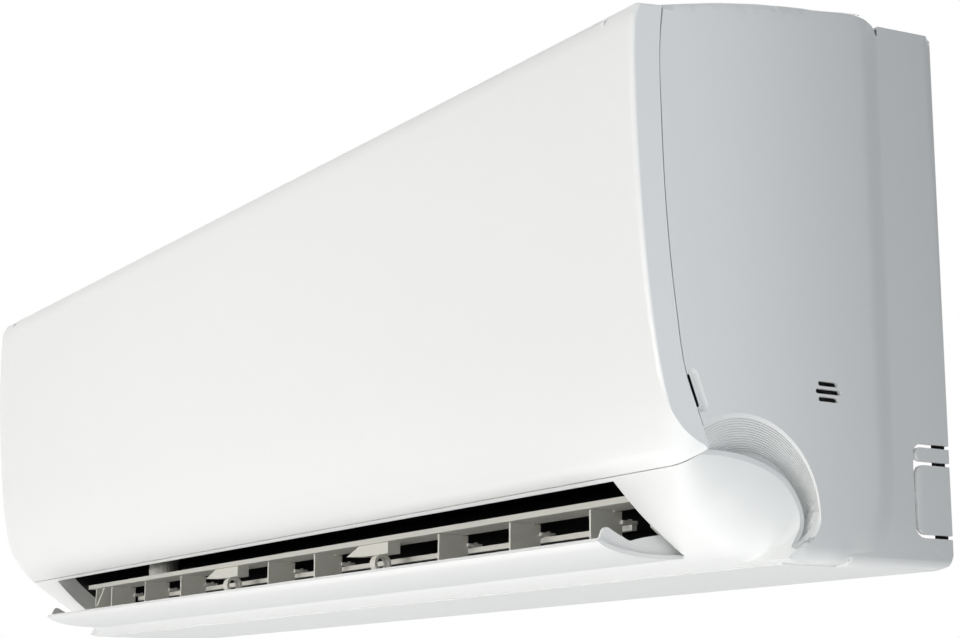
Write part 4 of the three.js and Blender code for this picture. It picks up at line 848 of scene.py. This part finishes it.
def air_filter():
    """The right-hand filter: a frame with a net of crossed threads in it."""
    half, inner, outer = FILTER_THICK / 2, *FILTER_X
    columns, rows = FILTER_WINDOWS
    wide = (outer - inner - 2 * FILTER_RIM + FILTER_BAR) / columns
    tall = (FILTER_LONG - 2 * FILTER_RIM + FILTER_BAR) / rows

    def block(x0, x1, s0, s1, t0, t1):
        return plate_block([on_slope(s0, t0), on_slope(s1, t0), on_slope(s1, t1), on_slope(s0, t1)], x0, x1)

    def window(i, j):
        x, s = inner + FILTER_RIM + i * wide, FILTER_RIM + j * tall
        return block(x, x + wide - FILTER_BAR, s, s + tall - FILTER_BAR, -half - 1, half + 1)

    rim = many([block(inner, outer, 0, FILTER_LONG, -half, half)])
    cut(rim, many([window(i, j) for i in range(columns) for j in range(rows)]))
    middle = (inner + outer) / 2
    join(rim, many([block(middle - 22, middle + 22, 1, 5, 0, 5)]))
    low, thread = -half + 0.1, NET_THREAD
    across = [block(x, x + thread, 4, FILTER_LONG - 4, low, low + thread)
              for x in np.arange(inner + 4, outer - 4, NET_PITCH)]
    up_slope = [block(inner + 4, outer - 4, s, s + thread, low + thread, low + 2 * thread)
                for s in np.arange(4, FILTER_LONG - 4, NET_PITCH)]
    return joined([rim, many(across + up_slope)])


def route(points, per_segment):
    """A centripetal Catmull-Rom line through the points."""
    p = [np.array(q, float) for q in points]
    p = [2 * p[0] - p[1], *p, 2 * p[-1] - p[-2]]
    line = []
    for a, b, c, d in zip(p, p[1:], p[2:], p[3:]):
        ta, tb, tc = [max(1e-4, math.sqrt(np.linalg.norm(q - r))) for q, r in ((b, a), (c, b), (d, c))]
        m0 = ((b - a) / ta - (c - a) / (ta + tb) + (c - b) / tb) * tb
        m1 = ((c - b) / tb - (d - b) / (tb + tc) + (d - c) / tc) * tb
        steps = max(2, round(np.linalg.norm(c - b) / per_segment))
        for t in np.arange(steps) / steps:
            line.append(b * (1 + 2 * t) * (1 - t) ** 2 + m0 * t * (1 - t) ** 2
                        + c * t * t * (3 - 2 * t) + m1 * t * t * (t - 1))
    line.append(p[-2])
    return line


def swept(line, radii, sides=20):
    """Rings of the given radii along a line, closed at both ends."""
    points, faces = [], []
    side = np.array([0, 0, 1.0])
    for i, (p, r) in enumerate(zip(line, radii)):
        run = line[min(i + 1, len(line) - 1)] - line[max(i - 1, 0)]
        run = run / np.linalg.norm(run)
        side = side - run * (side @ run)
        side = side / np.linalg.norm(side)
        other = np.cross(run, side)
        points += [tuple(p + side * r * math.cos(t) + other * r * math.sin(t))
                   for t in np.linspace(0, 2 * math.pi, sides, endpoint=False)]
    for i in range(len(line) - 1):
        for j in range(sides):
            k = (j + 1) % sides
            faces.append((i * sides + j, i * sides + k, (i + 1) * sides + k, (i + 1) * sides + j))
    faces += [tuple(range(sides))[::-1], tuple(range(len(points) - sides, len(points)))]
    piece = solid(points, faces)
    outward(piece)
    return piece


HOSE_ROUTE = [(SPOUT[2] + 0.3, SPOUT[0], SPOUT[1]), (SPOUT[2] + 4, SPOUT[0], SPOUT[1]),
              (SPOUT[2] + 10, SPOUT[0] + 0.5, SPOUT[1] - 1), (HOSE_X - 1, -153, 68), (HOSE_X, -138, 48),
              (HOSE_X, -115, 24), (HOSE_X, -92, 14.5), (HOSE_X, -70, 13), (HOSE_X - 9, -50, 12.6),
              (HOSE_X - 31, -43, 12.4), (HOSE_X - 63, -42, 12.4), (300, -42, 12.4), (170, -42, 12.4),
              (40, -42, 12.4)]


def corrugated_hose():
    """The drain hose: smooth cuffs at both ends, ribs between them."""
    line = route(HOSE_ROUTE, 0.9)
    run = np.concatenate([[0], np.cumsum([np.linalg.norm(b - a) for a, b in zip(line, line[1:])])])
    long = run[-1]
    first, last = HOSE_CUFFS
    radii = []
    for s in run:
        wave = 0.5 + 0.5 * math.tanh(2.2 * math.sin(2 * math.pi * s / HOSE_PITCH))
        ribbed = min(1, max(0, (s - first) / 3), max(0, (long - last - s) / 3))
        radii.append(HOSE_RADIUS - HOSE_GROOVE * wave * ribbed - HOSE_CUFF_STEP * (1 - ribbed))
    return swept(line, radii, 24)


def foam_sleeve():
    """The pipes' foam sleeve, slightly uneven, with its bore."""
    start, end = FOAM_X
    y, z = FOAM_LINE
    x = np.arange(start, end + 0.01, 2.0)
    rng = np.random.default_rng(5)
    rough = np.convolve(rng.normal(0, 1, len(x) + 8), np.ones(9) / 9, "valid")
    radii = FOAM_RADIUS + FOAM_UNEVEN * np.tanh(rough[:len(x)])
    sleeve = swept([np.array([v, y, z]) for v in x], list(radii), 32)
    return cut(sleeve, rod_x(y, z, FOAM_BORE, start - 10, end + 8, 32))


def seal_strip():
    """The foam strip by the wall, with a slightly uneven skin."""
    strip = along_x(SEAL_OUTLINE, *SEAL_X)
    mesh = bmesh.new()
    mesh.from_mesh(strip.data)
    bmesh.ops.triangulate(mesh, faces=mesh.faces)
    bmesh.ops.subdivide_edges(mesh, edges=mesh.edges, cuts=5, use_grid_fill=True)
    rng = np.random.default_rng(3)
    for v in mesh.verts:
        v.co += v.normal * (-SEAL_UNEVEN / 1000 * rng.random())
    mesh.to_mesh(strip.data)
    mesh.free()
    return strip


# ------------------------------------------------------------------ finishes
def finish(name, colour, roughness, metallic=0.0, grain=900.0, grain_depth=0.00001, mottle=0.02, specular=0.5,
           coat=0.0):
    """A Principled finish with a little unevenness in colour and roughness and a fine grain."""
    material = bpy.data.materials.new(name)
    material.use_nodes = True
    tree = material.node_tree
    tree.nodes.clear()
    new, link = tree.nodes.new, tree.links.new
    place = new("ShaderNodeTexCoord")

    def noise(scale, detail):
        node = new("ShaderNodeTexNoise")
        node.inputs["Scale"].default_value = scale
        node.inputs["Detail"].default_value = detail
        link(place.outputs["Object"], node.inputs["Vector"])
        return node.outputs["Fac"]

    broad, fine = noise(9.0, 3.0), noise(grain, 2.0)
    tone = new("ShaderNodeMix")
    tone.data_type = "RGBA"
    factor, dark, light = tone.inputs[0], tone.inputs[6], tone.inputs[7]
    dark.default_value = (*[c * (1 - mottle) for c in colour], 1)
    light.default_value = (*[min(1, c * (1 + mottle)) for c in colour], 1)
    link(broad, factor)
    rough = new("ShaderNodeMapRange")
    rough.inputs["To Min"].default_value = roughness * 0.9
    rough.inputs["To Max"].default_value = min(1, roughness * 1.1)
    link(fine, rough.inputs["Value"])
    bump = new("ShaderNodeBump")
    bump.inputs["Strength"].default_value = 0.4
    bump.inputs["Distance"].default_value = grain_depth
    link(fine, bump.inputs["Height"])
    shader = new("ShaderNodeBsdfPrincipled")
    shader.inputs["Metallic"].default_value = metallic
    shader.inputs["Specular IOR Level"].default_value = specular
    shader.inputs["Coat Weight"].default_value = coat
    shader.inputs["Coat Roughness"].default_value = 0.2
    link(tone.outputs[2], shader.inputs["Base Color"])
    link(rough.outputs["Result"], shader.inputs["Roughness"])
    link(bump.outputs["Normal"], shader.inputs["Normal"])
    out = new("ShaderNodeOutputMaterial")
    link(shader.outputs["BSDF"], out.inputs["Surface"])
    return material


WHITE = (0.80, 0.80, 0.785)
FINISHES = {
    "shell": finish("casing_plastic", WHITE, 0.42, mottle=0.006),
    "panel": finish("panel_plastic", (0.83, 0.83, 0.815), 0.34, mottle=0.006, grain_depth=0.000004),
    "flap": finish("flap_plastic", WHITE, 0.40, mottle=0.006),
    "vanes": finish("vane_plastic", (0.82, 0.81, 0.745), 0.5, mottle=0.015),
    "motor_plastic": finish("motor_plastic", (0.76, 0.75, 0.69), 0.5, mottle=0.02),
    "duct": finish("duct_plastic", (0.0065, 0.0065, 0.0066), 0.42, mottle=0.15),
    "dark_plastic": finish("dark_plastic", (0.022, 0.023, 0.026), 0.5, mottle=0.12),
    "steel": finish("galvanised_steel", (0.55, 0.56, 0.57), 0.32, 0.95, grain=160, mottle=0.08, grain_depth=0.00003),
    "motor_metal": finish("motor_can", (0.50, 0.51, 0.52), 0.34, 0.95, grain=300, mottle=0.05),
    "fins": finish("fin_aluminium", (0.66, 0.67, 0.68), 0.38, 0.9, mottle=0.04),
    "copper": finish("copper_tube", (0.62, 0.29, 0.17), 0.3, 0.95, grain=240, mottle=0.14, grain_depth=0.00002),
    "brass": finish("brass", (0.60, 0.44, 0.18), 0.28, 0.95, mottle=0.06),
    "rubber": finish("rubber", (0.012, 0.012, 0.012), 0.75, mottle=0.15, grain=1400, grain_depth=0.00003),
    "foam": finish("black_foam", (0.007, 0.007, 0.007), 0.95, mottle=0.3, grain=1100, grain_depth=0.0002,
                   specular=0.2),
    "hose": finish("hose_plastic", (0.76, 0.76, 0.74), 0.55, mottle=0.02),
    "filter": finish("filter_plastic", (0.26, 0.36, 0.44), 0.6, mottle=0.05),
    "circuit_board": finish("board_lacquer", (0.014, 0.11, 0.04), 0.35, mottle=0.15, coat=0.3),
}
SLOT_OF = {row["node"]: row["material_slot"] for row in frame["record"]["subparts"]}
BODY_OF = {node: body for body, names in frame["record"]["behaviour"]["bodies"].items() for node in names}

for name, node in NODES.items():
    node.data.materials.clear()
    node.data.materials.append(FINISHES[SLOT_OF[name]])


def dress(piece, name, *nodes, slot=None, body=None, angle=30):
    """Names a finished piece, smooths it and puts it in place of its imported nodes."""
    piece.name = piece.data.name = name
    slot = slot or SLOT_OF[nodes[0]]
    piece.data.materials.clear()
    piece.data.materials.append(FINISHES[slot])
    smooth(piece, angle)
    if nodes:
        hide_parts(*nodes)
    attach(piece, body or BODY_OF[nodes[0]])


def smooth(piece, angle):
    """Smooth shading with an edge wherever the surface turns sharply."""
    mesh = piece.data
    mesh.shade_smooth()
    mesh.set_sharp_from_angle(angle=math.radians(angle))
    step = piece.modifiers.new("even_normals", "WEIGHTED_NORMAL")
    step.keep_sharp = True
    step.weight = 60


dress(front_casing(), "casing_moulding", "front_casing")
dress(front_panel(), "panel_moulding", "front_panel")
dress(flap(), "flap_moulding", "flap")
dress(base(), "base_moulding", "rear_chassis")
FIN_NODES = {"lower": "evaporator_front_lower", "upper": "evaporator_front_upper", "rear": "evaporator_rear"}
for part, outline in FIN_OUTLINES.items():
    dress(fins(outline), f"coil_fins_{part}", FIN_NODES[part])
dress(coil_tubes(), "coil_tubes", slot="copper", body="base")
right = air_filter()
left = mirrored(right)
dress(right, "filter_net_right", "air_filter_right")
dress(left, "filter_net_left", "air_filter_left")
dress(corrugated_hose(), "corrugated_hose", "drain_hose", angle=50)
dress(foam_sleeve(), "foam_sleeve", "pipe_insulation", angle=50)
strip = seal_strip()
twin = mirrored(strip)
dress(strip, "seal_strip_right", "wall_seal_right")
dress(twin, "seal_strip_left", "wall_seal_left")


# ------------------------------------------------------------------ room, light and camera
FLOOR_HALF = 4000            # in millimetres, as the solids; lamps, world and camera are in metres
FLOOR_Z = -780
WORLD_COLOUR = (0.82, 0.91, 1.0, 1)
WORLD_STRENGTH = 0.25
FULL_SPREAD = 180
# name, place, target, width and height, watts, colour, spread in degrees
LAMPS = [
    ("key", (-0.7, -2.6, 0.9), (0, -0.15, 0), (2.2, 2.2), 21, (1.0, 0.97, 0.93), FULL_SPREAD),
    ("low", (0.35, -3.4, -0.46), (0, -0.15, 0.05), (2.4, 0.5), 5.8, (1.0, 0.98, 0.95), 50),
    ("rear", (-0.3, 2.2, 1.7), (0, 0, 0), (1.2, 1.2), 42, (1.0, 0.99, 0.97), FULL_SPREAD),
    ("under", (0, -0.2, -0.94), (0, -0.12, -0.1), (2.6, 0.6), 8, (1.0, 1.0, 1.0), FULL_SPREAD),
    ("side", (0.64, -0.195, -0.03), (0.48, -0.195, -0.03), (0.08, 0.8), 0.31, (0.93, 0.96, 1.0), FULL_SPREAD),
]
CAMERA_PLACE = (1.2451, -0.7613, -0.2635)
CAMERA_RIGHT = (0.5235, 0.8520, 0)
CAMERA_UP = (0.1716, -0.1054, 0.9795)
CAMERA_BACK = (0.8346, -0.5127, -0.2014)
CAMERA_LENS = 75


def floor_plane():
    corners = [(x, y, FLOOR_Z) for x, y in ((-1, -1), (1, -1), (1, 1), (-1, 1))]
    piece = solid([(x * FLOOR_HALF, y * FLOOR_HALF, z) for x, y, z in corners], [(0, 1, 2, 3)], "floor")
    piece.data.materials.append(finish("floor_paint", (0.80, 0.80, 0.80), 0.8, mottle=0.01))
    return piece


def room():
    """A plain soft world, white where the camera, a reflection or a clear piece looks straight at it."""
    world = bpy.data.worlds.new("room")
    world.use_nodes = True
    tree = world.node_tree
    tree.nodes.clear()

    def background(colour, strength):
        node = tree.nodes.new("ShaderNodeBackground")
        node.inputs["Color"].default_value = colour
        node.inputs["Strength"].default_value = strength
        return node.outputs[0]

    def larger(a, b):
        node = tree.nodes.new("ShaderNodeMath")
        node.operation = "MAXIMUM"
        tree.links.new(a, node.inputs[0])
        tree.links.new(b, node.inputs[1])
        return node.outputs[0]

    path = tree.nodes.new("ShaderNodeLightPath").outputs
    seen = larger(larger(path["Is Camera Ray"], path["Is Glossy Ray"]), path["Is Transmission Ray"])
    blend = tree.nodes.new("ShaderNodeMixShader")
    tree.links.new(seen, blend.inputs[0])
    tree.links.new(background(WORLD_COLOUR, WORLD_STRENGTH), blend.inputs[1])
    tree.links.new(background((1, 1, 1, 1), 1.0), blend.inputs[2])
    out = tree.nodes.new("ShaderNodeOutputWorld")
    tree.links.new(blend.outputs[0], out.inputs["Surface"])
    return world


def lamp(name, place, target, size, watts, colour, spread):
    data = bpy.data.lights.new(name, "AREA")
    data.shape, data.size, data.size_y = "RECTANGLE", *size
    data.energy, data.color, data.spread = watts, colour, math.radians(spread)
    thing = placed(name, data)
    thing.location = place
    thing.rotation_euler = (Vector(target) - Vector(place)).to_track_quat("-Z", "Y").to_euler()
    thing.visible_camera = False


def photo_camera():
    thing = placed("camera", bpy.data.cameras.new("camera"))
    thing.data.lens, thing.data.sensor_width = CAMERA_LENS, 36
    thing.data.clip_start, thing.data.clip_end = 0.01, 50
    columns = (CAMERA_RIGHT, CAMERA_UP, CAMERA_BACK, CAMERA_PLACE)
    thing.matrix_world = Matrix([*zip(*columns), (0, 0, 0, 1)])
    return thing


floor = floor_plane()
bpy.context.scene.world = room()
for settings in LAMPS:
    lamp(*settings)
bpy.context.scene.camera = photo_camera()
bpy.context.scene.view_settings.view_transform = "Standard"
